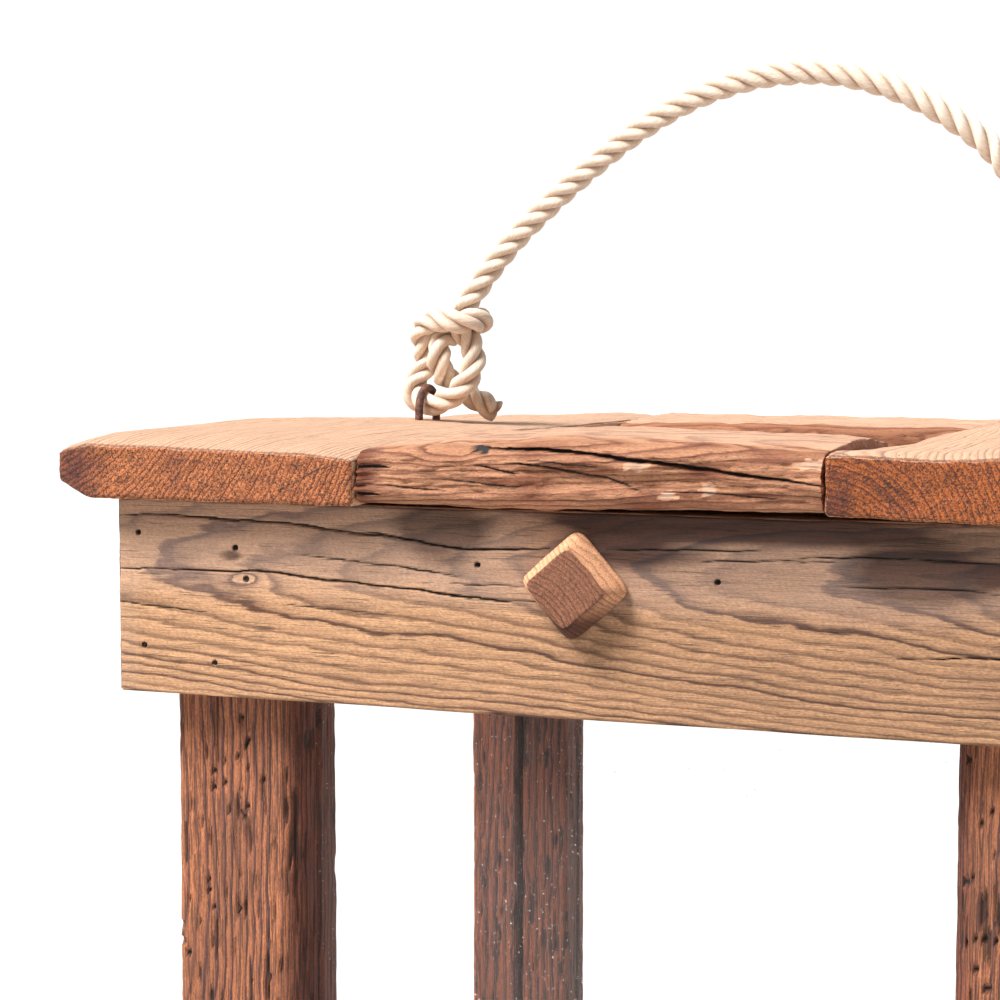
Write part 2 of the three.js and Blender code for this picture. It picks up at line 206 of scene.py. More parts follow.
# The left knot from its free end to the standing part: X, Y, height above the lid's underside.
knot_route = [
    (-127, 9, 28), (-133, 10, 31), (-139, 10, 35), (-147, 9, 39), (-152, 5, 44), (-152, -3, 49),
    (-152, -7, 55), (-152, -5, 61), (-151, 1, 65), (-149, 8, 67), (-144, 11, 70), (-138, 8, 72),
    (-134, -2, 73), (-137, -10, 72), (-143, -11, 73), (-150, -9, 74), (-157, -6, 74),
    (-163, -3, 69), (-163, 3, 60), (-162, 6, 53), (-163, 4, 47), (-165, 1, 42), (-166, 0, 36),
    (-163, -1, 31.5), (-158, -2, 30.5), (-155, -2, 32), (-149, -4, 34), (-142, -6, 37),
    (-137, -6, 42), (-134, -4, 49), (-134, -2, 56), (-135, 0, 62), (-137, 1, 67), (-139, 1, 72),
    (-139, 1, 78),
]
arch_route = [
    (-136, 0, 85), (-130, 0, 94), (-114, 0, 113), (-96, 0, 130), (-78, 0, 145), (-52, 0, 164),
    (-22, 0, 180), (10, 0, 189), (40, 0, 190), (70, 0, 183), (98, 0, 169), (120, 0, 152),
    (135, 0, 130), (143, 0, 107), (147, 0, 85),
]
lift = board_right - board_left
right_knot = [(staple_left + staple_right - x, y, z + lift) for x, y, z in reversed(knot_route)]
route = np.array(knot_route + arch_route + right_knot, float)
staple_proud, staple_reach, staple_bite, wire_radius = 17.5, 11.5, 14.0, 2.0


def staple_line(place, top):
    """The middle of a staple's wire: two upright legs joined by a half circle."""
    turn = np.linspace(math.pi, 0, 13)
    across = staple_reach * np.cos(turn)
    arc = np.stack([across, staple_proud - staple_reach * (1 - np.sin(turn))], 1)
    leg = np.array([[staple_reach, 10 - staple_bite], [staple_reach, -staple_bite]])
    flat = np.vstack([leg[::-1] * [-1, 1], arc, leg])
    return np.stack([np.full(len(flat), place), flat[:, 0], flat[:, 1] + top], axis=1)


def settle(path, step):
    """Lets the turns of the knots push each other, the staples and the boards away until they
    only touch, while the cord stays smooth."""
    wires = np.vstack([
        smooth_path(staple_line(staple_left, board_left), 1.5),
        smooth_path(staple_line(staple_right, board_right), 1.5),
    ])
    count = len(path)
    rows = np.arange(count)
    apart = np.abs(rows[:, None] - rows[None, :]) * step
    knotted = (path[:, 2] < 95)[:, None]  # the arch keeps its shape
    touching, wire_touch = 0.88 * rope_diameter, 0.5 * rope_diameter + wire_radius
    for _ in range(70):
        away = path[:, None] - path[None]
        distance = np.linalg.norm(away, axis=2) + 1e-6
        pressed = (distance < touching) & (apart > 1.6 * rope_diameter)
        push = np.where(pressed, touching - distance, 0)
        move = 0.30 * (away / distance[..., None] * push[..., None]).sum(1)
        away = path[:, None] - wires[None]
        distance = np.linalg.norm(away, axis=2) + 1e-6
        nearest = distance.argmin(1)
        gap = distance[rows, nearest]
        push = np.clip(wire_touch - gap, 0, None)
        move += 0.5 * away[rows, nearest] / gap[:, None] * push[:, None]
        move = np.clip(move, -1.2, 1.2)
        bend, spread = np.zeros_like(path), np.zeros_like(path)
        bend[1:-1] = path[:-2] + path[2:] - 2 * path[1:-1]
        beyond, beside = path[:-4], path[1:-3]
        spread[2:-2] = -(beyond - 4 * beside + 6 * path[2:-2] - 4 * path[3:-1] + path[4:]) / 6
        path = path + knotted * (move + 0.03 * bend + 0.3 * spread)
        floor = np.where(path[:, 0] < 0, board_left, board_right) + 0.5 * rope_diameter + 0.3
        path[:, 2] = np.maximum(path[:, 2], floor)
    return path


rope_path = smooth_path(settle(smooth_path(route, 2.5), 2.5), 1.4)
along, side_one, side_two = carried_frames(rope_path)
travel = np.r_[0, np.cumsum(np.linalg.norm(np.diff(rope_path, axis=0), axis=1))]
rope_points, rope_faces, rope_fields = [], [], {"crevice": [], "around": [], "travel": []}
for strand in range(3):
    turn = 2 * math.pi * (travel / rope_lay + strand / 3)[:, None]
    centre = rope_path + strand_offset * (np.cos(turn) * side_one + np.sin(turn) * side_two)
    around = np.linspace(0, 2 * math.pi, strand_sides, endpoint=False)
    yarn_phase = yarns * (around[None] + 0.9 * turn)
    # Yarns stand a little proud, and hand-laid strands vary in thickness along their length.
    swell = 0.02 * np.sin(travel / 7.0 + 2.1 * strand)[:, None]
    radius = strand_radius * (1 + 0.022 * np.cos(yarn_phase) + swell)
    ring = rings(centre, radius[..., None], strand_sides, side_one, side_two)
    # How far in towards the rope's axis each point lies, which the material paints as shade.
    depth = 1 - np.linalg.norm(ring - rope_path[:, None], axis=2) / (strand_offset + strand_radius)
    tips = np.stack([centre[0] - 1.0 * along[0], centre[-1] + 1.0 * along[-1]])
    rope_faces += tube_faces(len(rope_path), strand_sides, start=sum(len(p) for p in rope_points))
    rope_points.append(np.vstack([ring.reshape(-1, 3), tips]))
    rope_fields["crevice"].append(np.r_[depth.ravel(), 0.3, 0.3])
    rope_fields["around"].append(np.r_[yarn_phase.ravel() / (2 * math.pi), 0, 0])
    rope_fields["travel"].append(np.r_[np.repeat(travel, strand_sides), 0, 0])

# Bleached fibre is pale and fully rough, and the shade between its strands is painted darker.
# Its hairs run along the yarns, about 4 mm long and a third of a yarn wide.
rope_material, tree, shader = new_material("laid natural fibre")
crevice, yarn_across, yarn_along = (
    add(tree, "Attribute", output="Fac", attribute_name=key) for key in rope_fields
)
fibre_place = add(tree, "CombineXYZ", [
    add(tree, "Math MULTIPLY", [yarn_across, 3.0]),
    add(tree, "Math MULTIPLY", [yarn_along, 0.16]),
])
hairs = {"Vector": fibre_place, "Scale": 1.6, "Detail": 4.0, "Roughness": 0.7}
fibre = add(tree, "TexNoise", hairs)
tone = graded(add(tree, "ValToRGB", [fibre]), (0.30, "#d6b899"), (0.62, "#f6e8d8"))
shade = add(tree, "MapRange", [crevice, 0.14, 0.50, 0.0, 0.75])
rgba = {"output": 2, "data_type": "RGBA"}
feed(shader, {
    "Base Color": add(tree, "Mix", {0: shade, 6: tone, 7: "#9c7555"}, **rgba),
    "Roughness": 0.95,
    "Sheen Weight": 0.15,
    "Normal": add(tree, "Bump", {"Strength": 0.8, "Distance": 0.0006, "Height": fibre}),
})
rope = new_piece(
    "rope_handle", np.vstack(rope_points), rope_faces, rope_material, "lantern",
    ["rope_arch", "rope_knot_left", "rope_knot_right"],
    {key: np.concatenate(values) for key, values in rope_fields.items()},
)


# ---- Staples: 4 mm iron wire, bent to a U and driven into the side boards, one for each knot
# Wire and screws are old iron: a dull brown-black scale, with lighter rust where it has bloomed.
def noise(points, seed=0):
    """Smooth noise from -1 to 1: random values on a unit lattice, blended by a quintic step."""
    cell = np.floor(points).astype(np.int64)
    part = points - cell
    part = part**3 * (part * (part * 6 - 15) + 10)
    total = np.zeros(len(points))
    for corner in np.ndindex(2, 2, 2):
        mixed = (cell + corner) @ np.array([73856093, 19349663, 83492791]) + seed * 2654435761
        mixed = (mixed ^ (mixed >> 13)) * 1274126177 & 0x7FFFFFFF
        mixed = (mixed ^ (mixed >> 15)) * 2246822519 & 0x7FFFFFFF
        value = (mixed ^ (mixed >> 12)) / 0x3FFFFFFF - 1
        total += value * np.prod(np.where(corner, part, 1 - part), axis=1)
    return total


def layered(points, size, seed=0, octaves=3):
    """Noise of a feature size in mm, which may differ by axis, with finer, weaker layers on it."""
    total, weight = 0, 1.0
    for octave in range(octaves):
        total = total + weight * noise(points / size * 2**octave, seed + 17 * octave)
        weight *= 0.5
    return total


def old_iron(name, scale_tone, bloom_tone):
    """Iron whose noise of about 2.4 mm picks between its scale and its rust."""
    made, tree, shader = new_material(name)
    place = add(tree, "TexCoord", output="Object")
    spots = {"Vector": place, "Scale": 420.0, "Detail": 5.0, "Roughness": 0.7}
    bloom = add(tree, "TexNoise", spots)
    tones = add(tree, "ValToRGB", [bloom])
    feed(shader, {
        "Base Color": graded(tones, (0.38, scale_tone), (0.66, bloom_tone)),
        "Metallic": 0.35,
        "Roughness": 0.72,
        "Normal": add(tree, "Bump", {"Strength": 0.7, "Distance": 0.0004, "Height": bloom}),
    })
    return made


def dressed(names, material):
    """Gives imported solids, which keep their own meshes, a material."""
    for name in names:
        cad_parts[name].data.materials.clear()
        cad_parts[name].data.materials.append(material)


wire_material = old_iron("rusted iron wire", "#3b2a28", "#84584a")
nail_material = old_iron("blackened nail iron", "#0d0908", "#2c1b15")
wire_sides = 18
for side, place, top in (("left", staple_left, board_left), ("right", staple_right, board_right)):
    line = smooth_path(staple_line(place, top), 0.8)
    _, one, two = carried_frames(line)
    ring = rings(line, wire_radius, wire_sides, one, two)
    pitted = 1 + 0.05 * noise(ring.reshape(-1, 3) / 1.3, 5).reshape(ring.shape[:2])
    ring = line[:, None] + (ring - line[:, None]) * pitted[..., None]
    points = np.vstack([ring.reshape(-1, 3), line[0], line[-1]])
    faces = tube_faces(len(line), wire_sides)
    name = f"iron_staple_{side}"
    new_piece(name, points, faces, wire_material, "lantern", [f"staple_{side}"])
dressed([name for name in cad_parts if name.startswith("cleat_screw")], nail_material)


# ---- Beams: wide old softwood planks on edge, planed and re-sawn, nailed to the posts
# The upper front one is the best seen: grey and figured above, pale with close wavy rings
# below, with two long checks, a small knot, old nail holes and a sawn lower left end.
def timber(name, grain, pith, ring, early, late, end_tone, stain, figure=5.0, stains=0.3,
           seed=0.0, slope=0.0, contrast=1.0, grit=1.0, sawn=0.0, knot=None, crazed=0.0,
           open_pores=1.0, greyed=None, stain_shade_tone="#86706a"):
    """Reclaimed softwood whose grain runs along an axis. Its growth rings are shells round a
    pith line, so that end grain and long grain agree: the distance from the line over the ring
    width, plus noise, has the year as its whole part, and its fraction gives pale earlywood or
    dark latewood. Lengths are in mm.

    pith: the ring centre on the other two axes, and slope, how it leans along the grain.
    ring, figure: the rings' width, and how far they wander along a board.
    contrast, grit, crazed: the strength of latewood, of fibre and pores, and of fine cracks.
    stains, sawn, open_pores: the strength of stain patches, saw marks and cut ends' pores.
    knot: a place along and across where the rings bulge, and its reach.
    greyed: the heights between which weathering sets in, and its strength."""
    made, tree, shader = new_material(name)
    rgba = {"output": 2, "data_type": "RGBA"}
    base = 0.0 if grain == "Z" else lid_under / mm
    place = add(tree, "TexCoord", output="Object")
    split = add(tree, "SeparateXYZ", [place]).node.outputs
    axes = [axis for axis in "XYZ" if axis != grain] + [grain]
    u, v, w = (add(tree, "Math MULTIPLY", [split[axis], 1000.0]) for axis in axes)

    def grain_noise(along_mm, across_mm, detail=2.0, shift=0.0, rough=0.5, lean=0.0, output=0):
        """Noise whose features have one length along the grain and another across it."""
        run, sides = w, [u, v]
        if lean:
            run = add(tree, "Math MULTIPLY_ADD", [v, lean, w])
            sides = [add(tree, "Math MULTIPLY_ADD", [w, -lean, side]) for side in sides]
        vector = add(tree, "CombineXYZ", [
            add(tree, "Math MULTIPLY_ADD", [run, 1 / along_mm, seed + shift]),
            *(add(tree, "Math DIVIDE", [side, across_mm]) for side in sides),
        ])
        look = {"Vector": vector, "Scale": 1.0, "Detail": detail, "Roughness": rough}
        return add(tree, "TexNoise", look, output)

    # Rings: the distance from a leaning pith line, wandering slowly and ragged at fibre size.
    slow = grain_noise(190.0, 70.0, 1.0, output="Color")
    wander = add(tree, "SeparateColor", [slow]).node.outputs
    leaning = add(tree, "Math MULTIPLY_ADD", [w, slope, pith[0]])
    squares = []
    for across, centre, drift in ((u, leaning, wander[0]), (v, pith[1] + base, wander[1])):
        drift = add(tree, "Math SUBTRACT", [drift, 0.5])
        moved = add(tree, "Math MULTIPLY_ADD", [drift, 2 * figure, across])
        away = add(tree, "Math SUBTRACT", [moved, centre])
        squares.append(add(tree, "Math MULTIPLY", [away, away]))
    radius = add(tree, "Math SQRT", [add(tree, "Math ADD", squares)])
    count = add(tree, "Math DIVIDE", [radius, ring])
    count = add(tree, "Math MULTIPLY_ADD", [grain_noise(7.0, 0.6, 2.0, 5.1), 0.22, count])
    count = add(tree, "Math MULTIPLY_ADD", [grain_noise(26.0, 8.0, 2.0, 7.3), 1.1, count])
    if knot:
        parts = []
        for axis, at, reach in ((w, knot[0], knot[2]), (v, knot[1] + base, knot[2] * 0.4)):
            share = add(tree, "Math DIVIDE", [add(tree, "Math SUBTRACT", [axis, at]), reach])
            parts.append(add(tree, "Math POWER", [share, 2.0]))
        far = add(tree, "Math ADD", parts)
        bulge = add(tree, "Math DIVIDE", [1.1, add(tree, "Math MULTIPLY_ADD", [far, far, 1.0])])
        count = add(tree, "Math ADD", [count, bulge])
    year = add(tree, "Math FLOOR", [count])
    luck = add(tree, "TexWhiteNoise", {"W": year}, "Value", noise_dimensions="1D")
    late_band = graded(
        add(tree, "ValToRGB", [add(tree, "Math FRACT", [count])]),
        (0.0, 0.5), (0.07, 0.0), (0.40, 0.06), (0.72, 0.5), (0.86, 1.0), (0.95, 0.9), (1.0, 0.5),
    )
    strength = add(tree, "Math MULTIPLY_ADD", [luck, 0.6, 0.4])
    band = add(tree, "Math MULTIPLY", [late_band, strength])
    lateness = add(tree, "Math MULTIPLY", [band, contrast], use_clamp=True)
    wood = add(tree, "Mix", {0: lateness, 6: early, 7: late}, **rgba)
    # Fibres, grit in the pores and short cracks between fibres, all finer than a ring.
    fibre = grain_noise(16.0, 0.42, 3.0, 3.1, 0.7)
    speck = grain_noise(1.5, 0.5, 2.0, 1.7, 0.6)
    shade = add(tree, "Math MULTIPLY_ADD", [speck, 0.85 * grit, 1 - 0.8 * grit])
    shade = add(tree, "Math MULTIPLY_ADD", [fibre, 0.75 * grit, shade])
    wood = add(tree, "VectorMath SCALE", {0: wood, "Scale": shade})
    cracks = grain_noise(22.0, 0.6, 1.0, 9.9)
    cracklet = add(tree, "MapRange", [cracks, 0.66 - crazed, 0.74 - crazed])
    shade = add(tree, "Math MULTIPLY", [cracklet, 0.6])
    wood = add(tree, "Mix", {0: shade, 6: wood, 7: "#38241a"}, **rgba)
    # Stains follow the grain in long soft patches, and so does the grey of old weathering.
    patch = grain_noise(95.0, 24.0, 3.0, 11.7, 0.6)
    shade = add(tree, "MapRange", [patch, 0.48, 0.72, 0.0, stains])
    wood = add(tree, "Mix", {0: shade, 6: wood, 7: stain}, **rgba)
    if greyed:
        level = add(tree, "Math MULTIPLY_ADD", [patch, 22.0, v])
        low, high = greyed[0] + base + 11, greyed[1] + base + 11
        shade = add(tree, "MapRange", [level, low, high, 0.0, greyed[2]])
        wood = add(tree, "Mix", {0: shade, 6: wood, 7: "#b4988a"}, **rgba)
    if sawn:
        scratch = grain_noise(5.0, 0.9, 1.0, 4.4, 0.5, lean=-0.55)
        shade = add(tree, "Math MULTIPLY_ADD", [scratch, sawn, 1 - sawn / 2])
        wood = add(tree, "VectorMath SCALE", {0: wood, "Scale": shade})
    # Cut ends soak up dirt and oil, so they are darker and redder, and their pores stand open.
    facing = add(tree, "SeparateXYZ", [place.node.outputs["Normal"]], grain)
    end = add(tree, "MapRange", [add(tree, "Math ABSOLUTE", [facing]), 0.45, 0.75])
    pores = add(tree, "MapRange", [grain_noise(30.0, 0.55, 2.0, 2.2, 0.8), 0.53, 0.57])
    end_wood = add(tree, "Mix", {0: 1.0, 6: wood, 7: end_tone}, blend_type="MULTIPLY", **rgba)
    shade = add(tree, "Math MULTIPLY", [pores, open_pores])
    end_wood = add(tree, "Mix", {0: shade, 6: end_wood, 7: "#39201a"}, **rgba)
    wood = add(tree, "Mix", {0: end, 6: wood, 7: end_wood}, **rgba)
    # The mesh says how deep each point lies in a check, a pit or a gap, painted near-black there as
    # its shade, and how stained it is or how much shade is painted on it, or how bleached where
    # that is below nought.
    hollow, stain_and_shade = (
        add(tree, "Attribute", output="Fac", attribute_name=key) for key in ("hollow", "stain_and_shade")
    )
    bleached = add(tree, "Math MULTIPLY", [stain_and_shade, -0.5], use_clamp=True)
    wood = add(tree, "Mix", {0: stain_and_shade, 6: wood, 7: stain_shade_tone}, blend_type="MULTIPLY", **rgba)
    wood = add(tree, "Mix", {0: bleached, 6: wood, 7: "#b89f8d"}, **rgba)
    wood = add(tree, "Mix", {0: hollow, 6: wood, 7: "#140c09"}, **rgba)
    # Latewood and fibres stand proud, and cracks, specks and cut pores lie deeper.
    height = add(tree, "Math MULTIPLY", [speck, 0.35])
    for layer, rise in ((cracklet, -0.6), (fibre, 0.6), (band, 0.35)):
        height = add(tree, "Math MULTIPLY_ADD", [layer, rise, height])
    cut_pores = add(tree, "Math MULTIPLY", [end, pores])
    height = add(tree, "Math MULTIPLY_ADD", [cut_pores, -1.3 * open_pores, height])
    relief = add(tree, "Bump", {"Strength": 0.8, "Distance": 0.0007, "Height": height})
    feed(shader, {"Base Color": wood, "Roughness": 0.8, "Normal": relief})
    return made


def mm_box(node):
    """A node's lowest and highest corners in mm, with heights from the lid's underside."""
    return tuple((np.array(corner) - to_frame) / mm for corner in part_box(node))


def stations(low, high, step, edge=2.0, extra=()):
    """Grid lines from low to high, about a step apart, closer where an arris is rounded, with
    extra ones where a cut needs them."""
    curve = edge * (1 - np.cos(np.linspace(0, math.pi / 2, 5)))[:-1]
    count = max(2, round((high - low - 2 * edge) / step) + 1)
    middle = np.linspace(low + edge, high - edge, count)
    lines = np.concatenate([low + curve, middle, high - curve, np.asarray(extra, float)])
    lines = np.unique(np.round(lines, 3))
    return lines[np.r_[True, np.diff(lines) > 0.04]]


def block(xs, ys, zs):
    """The skin of a box as one welded grid: its points, its quads facing out."""
    shape = (len(xs), len(ys), len(zs))
    number = np.full(shape, -1)
    skin = np.ones(shape, bool)
    skin[1:-1, 1:-1, 1:-1] = False
    number[skin] = np.arange(skin.sum())
    grid = np.stack(np.meshgrid(xs, ys, zs, indexing="ij"), axis=-1)
    quads = []
    for axis, end, flip in ((0, 0, 1), (0, -1, 0), (1, 0, 0), (1, -1, 1), (2, 0, 1), (2, -1, 0)):
        sheet = np.take(number, end, axis=axis)
        a, b, c, d = sheet[:-1, :-1], sheet[1:, :-1], sheet[1:, 1:], sheet[:-1, 1:]
        order = (a, d, c, b) if flip else (a, b, c, d)
        quads.append(np.stack(order, axis=-1).reshape(-1, 4))
    return grid[skin], np.vstack(quads)


def rounded(points, low, high, radius):
    """Rounds a box's arrises: each point goes to a ball's reach of its nearest inner point.
    Also gives the outward direction there."""
    low, high = np.asarray(low, float), np.asarray(high, float)
    inner = np.clip(points, low + radius, high - radius)
    out = points - inner
    out /= np.maximum(np.linalg.norm(out, axis=1, keepdims=True), 1e-9)
    return inner + radius * out, out


def checks(a, b, lines, seed=0):
    """How deep the wood has opened at (a, b), and how dark its shade is painted there. Each line
     is a split through its points, with a half width and a depth that run out at both ends."""
    depth, dark = np.zeros(len(a)), np.zeros(len(a))
    for number, (points, width, deep) in enumerate(lines):
        pa, pb = np.array(points, float).T
        flat = np.stack([a / 7, np.zeros_like(a), np.full(len(a), 3.1 * number)], axis=1)
        wobble = 0.3 * noise(flat, seed + number)
        middle = np.interp(a, pa, pb) + wobble + 0.12 * noise(flat * 4, seed + 50)
        share = np.clip((a - pa[0]) / (pa[-1] - pa[0]), 0, 1)
        taper = np.clip(5 * np.minimum(share, 1 - share), 0, 1) ** 0.6
        half = np.maximum(width * taper * (1 + 0.35 * noise(flat * 1.7, seed + 90)), 0.3)
        near = np.clip(1 - np.abs(b - middle) / half, 0, 1) * (taper > 0)
        depth = np.maximum(depth, deep * taper * near**0.5)
        dark = np.maximum(dark, np.clip(2.2 * near, 0, 1))
    return depth, dark


def pits(a, b, holes):
    """The same for round holes, each a centre, a radius and a depth, with their shade painted dark.
    """
    depth, dark = np.zeros(len(a)), np.zeros(len(a))
    for pa, pb, radius, deep in holes:
        near = np.clip(3 * np.clip(1.25 - np.hypot(a - pa, b - pb) / radius, 0, 1), 0, 1)
        depth, dark = np.maximum(depth, deep * near), np.maximum(dark, near)
    return depth, dark


def wooden(name, node, points, faces, material, hollow, stain_and_shade=0.0, body="lantern"):
    """Puts a finished timber mesh in its node's place."""
    fields = {
        "hollow": np.clip(hollow, 0, 1) + np.zeros(len(points)),
        "stain_and_shade": np.clip(stain_and_shade, -1, 1) + np.zeros(len(points)),
    }
    new_piece(name, points, faces, material, body, [node], fields)


beam_colours = dict(
    early="#bf9069", late="#583624", end_tone="#b98c76", stain="#664434", stain_shade_tone="#5f4a42",
)
peg_x, peg_drop, peg_hole, peg_cut = -9.0, 29.8, 11.3, 23.5
nail_places = [
    (sign * at, -drop, 1.0, 1.5) for sign in (-1, 1) for at, drop in ((170, 69.3), (203.5, 63.3))
]
old_holes = [
    (-206, -15, 1.0, 2), (-160, -20, 1.1, 2), (-51, -23, 1.0, 2), (49, -26, 1.0, 2),
    (-155, -33, 1.2, 1),
]
front_checks = [
    ([(-217, -8), (-195, -7), (-164, -8), (-134, -9), (-112, -11), (-89, -13),
      (-70, -16)], 0.37, 3.0),
    ([(-100, -11.5), (-89, -12.5), (-74, -15), (-56, -17), (-41, -16.5), (-20, -15)], 0.44, 3.0),
    ([(-217, -31), (-181, -30), (-160, -30), (-150, -29), (-130, -31), (-85, -34), (-41, -37),
      (-25, -37)], 0.41, 3.0),
    ([(-130, -22), (-85, -25), (-60, -28)], 0.24, 1.5),
    ([(-62, -31), (-30, -31)], 0.20, 1.5),
    ([(-217, -45), (-175, -48)], 0.20, 1.5),
    ([(3, -15), (35, -14), (65, -13)], 0.27, 2.0),
    ([(80, -15), (124, -14), (158, -15)], 0.34, 2.2),
    ([(42, -18), (95, -16)], 0.20, 1.5),
    ([(101, -26), (130, -25), (158, -26)], 0.20, 1.5),
    ([(120, -52), (175, -50), (217, -51)], 0.27, 2.0),
    ([(-140, -43), (-90, -45)], 0.14, 0.8),
]


def beam(name, grain, faces_out, colours, lines, holes, pith, seed, pegged=False, step=0.55):
    """A plank on edge: long grid lines along the grain and close ones across it, so that checks
    show. a runs along the beam and b is the depth below its top."""
    low, high = mm_box(name)
    length = 0 if grain == "X" else 1
    extra = [hole[0] + np.arange(-1.8, 1.9, 0.4) for hole in holes]
    extra += [np.arange(peg_x - 13, peg_x + 13, 0.8)] if pegged else []
    axes = [None, None, stations(low[2], high[2], step)]
    axes[length] = stations(low[length], high[length], 3.2, extra=np.concatenate([[], *extra]))
    axes[1 - length] = stations(low[1 - length], high[1 - length], 2.5)
    points, quads = block(*axes)
    points, out = rounded(points, low, high, 1.4)
    a, b = points[:, length], points[:, 2] - high[2]
    # Only the outer face carries the drawn checks and holes.
    outer = out[:, 1 - length] * faces_out > 0.6
    lengthwise = np.arange(3) == length
    worn = 0.22 * layered(points, np.where(lengthwise, 60.0, 9.0), seed)
    worn += 0.10 * layered(points, np.where(lengthwise, 30.0, 1.6), seed + 3, 2)
    arris = 1 - np.abs(out).max(1)
    worn -= 2.2 * arris * (0.5 + noise(points / 14, seed + 9))
    depth, dark = checks(a, b, lines, seed)
    hole_depth, hole_dark = pits(a, b, holes)
    sunk = np.where(outer, np.maximum(depth, hole_depth), 0)
    hollow = np.where(outer, np.maximum(dark, hole_dark), 0)
    points = points + out * (worn - sunk - 0.3)[:, None]
    if pegged:
        # The peg's hole: points near its rim snap to it, and those inside it sink and are painted
        # with shade.
        down = points[:, 2] + peg_drop
        reach = np.hypot(a - peg_x, down)
        toward = np.stack([a - peg_x, down], 1) / np.maximum(reach, 1e-6)[:, None]
        inside = outer & (reach < peg_hole - 0.2)
        rim = outer & (np.abs(reach - peg_hole) < 0.45)
        points[rim, length] = peg_x + toward[rim, 0] * peg_hole
        points[rim, 2] = -peg_drop + toward[rim, 1] * peg_hole
        points[inside, 1 - length] -= faces_out * peg_cut
        hollow = np.where(inside, 0.6, hollow)
    looks = {**colours, "figure": 6.0, "sawn": 0.5, "grit": 1.5, "contrast": 1.25}
    material = timber(f"old beam, {name}", grain, pith, 2.4, seed=float(seed), **looks)
    return points, quads, material, hollow, outer


front_looks = dict(stains=0.25, slope=-0.06, knot=(-155.0, -33.0, 7.0), greyed=(-44, -30, 0.36))
points, quads, material, hollow, outer = beam(
    "upper_beam_front", "X", -1, {**beam_colours, **front_looks}, front_checks,
    old_holes + nail_places, (-167.5, -27.0), 4, pegged=True,
)
# Its upper half is greyed. Its top band and its right side are darker, partly stain and partly a
# painted shadow of the lid's overhang. Of the dark patches, the two just under the lid right of
# the peg are painted shadow, the others older stains. Its other faces are a little darker. A saw
# has cleaned its lower left end.
a, b = points[:, 0], points[:, 2]
edge = layered(points, [60.0, 20.0, 9.0], 55)
stain_and_shade = 0.15 * np.clip((b + 33 + 6 * edge) / 9, 0, 1) + 0.32 * np.clip((a + 130) / 200, 0, 1)
for middle, level, wide, tall, dark in (
    (-68, -12, 26, 17, 0.6), (-162, -23.5, 7, 3.6, 0.7), (132, -20, 34, 15, 0.5),
    (14, -9, 42, 15, 0.6), (70, -3, 100, 11, 0.6), (200, -14, 45, 30, 0.4),
):
    away = np.hypot((a - middle) / wide, (b - level) / tall) + 0.25 * edge
    stain_and_shade += dark * np.clip(2.2 * (1 - away), 0, 1)
stain_and_shade = np.where(outer, np.where((a < -206.5) & (b < -34), -0.2, stain_and_shade), 0.3)
wooden("beam_top_front", "upper_beam_front", points, quads, material, hollow, stain_and_shade)

# The other seven are plain, with seven checks each at places of their own.
for level, level_seed in (("upper", 20), ("lower", 60)):
    sides = (("front", "X", -1), ("back", "X", 1), ("left", "Y", -1), ("right", "Y", 1))
    for number, (place, grain, faces_out) in enumerate(sides):
        name = f"{level}_beam_{place}"
        if name == "upper_beam_front":
            continue
        seed = level_seed + 7 * number
        chance = np.random.default_rng(seed)
        low, high = mm_box(name)
        length = 0 if grain == "X" else 1
        lines = []
        for _ in range(7):
            start = chance.uniform(low[length], high[length] - 80)
            run, depth_at = chance.uniform(60, 220), chance.uniform(-78, -6)
            stop = min(start + run, high[length] + 2)
            rise = chance.uniform(-5, 5)
            bend = ((start + stop) / 2, depth_at + rise * 0.7)
            split = [(start, depth_at), bend, (stop, depth_at + rise)]
            lines.append((split, chance.uniform(0.3, 0.6), 2.2))
        pith = (
            faces_out * chance.uniform(120, 170),
            (low[2] + high[2]) / 2 + chance.uniform(-30, 30),
        )
        points, quads, material, hollow, _ = beam(
            name, grain, faces_out, {**beam_colours, "stains": 0.45}, lines,
            nail_places if grain == "X" else [], pith, seed, name == "upper_beam_back", 0.9,
        )
        wooden(
            f"beam_{level}_{place}", name, points, quads, material, hollow,
        )


# ---- Nails: cut iron, of flat section, two at each end of the front and back beams
# They go through the beam into the post or the side beam's end, and are punched in below the
# beam's face.
nail_sides = 12
nail_half_wide, nail_half_tall = 0.7, 1.15  # of the section, at a size of 1
for name in sorted(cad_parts):
    if name.startswith(("post_nail", "corner_nail")):
        low, high = mm_box(name)
        x, _, z = (low + high) / 2
        head, tip = (low[1], high[1]) if "front" in name else (high[1], low[1])
        inward = np.sign(tip - head)
        rows = [(0.9, 1.15), (2.2, 1.1), (2.9, 0.85)]
        rows = [(head + inward * depth, size) for depth, size in rows]
        rows += [(tip - inward * 6, 0.8), (tip, 0.2)]
        around = np.linspace(0, 2 * math.pi, nail_sides + 1)[:-1]
        wide, tall = nail_half_wide * np.cos(around), nail_half_tall * np.sin(around)
        ring = np.stack([np.stack([size * wide, 0 * wide + y, size * tall], 1) for y, size in rows])
        ends = [[0, rows[0][0], 0], [0, rows[-1][0], 0]]
        points = np.vstack([ring.reshape(-1, 3), ends]) + [x, 0, z]
        faces = tube_faces(len(rows), nail_sides)
        faces = [row[::-1] for row in faces] if inward > 0 else faces
        new_piece(f"cut_{name}", points, faces, nail_material, "lantern", [name])


# ---- Lid boards: thick hewn planks, two with their end grain to the front, two between them
# The left one is crowned, with a blunt waney nose stained by the bark. The front one is
# weathered hard: split along its length, torn out at its left end and scalloped below.
lid_colours = dict(early="#d8a983", late="#8a5136", stain="#a1704f")
lid_arris = 1.6
side_boards = {
    "left": dict(thickness=22.0, pith=(-268.0, 78.0), seed=3, end_tone="#efb98e"),
    "right": dict(thickness=25.0, pith=(95.0, -12.0), seed=6, end_tone="#d29252"),
}


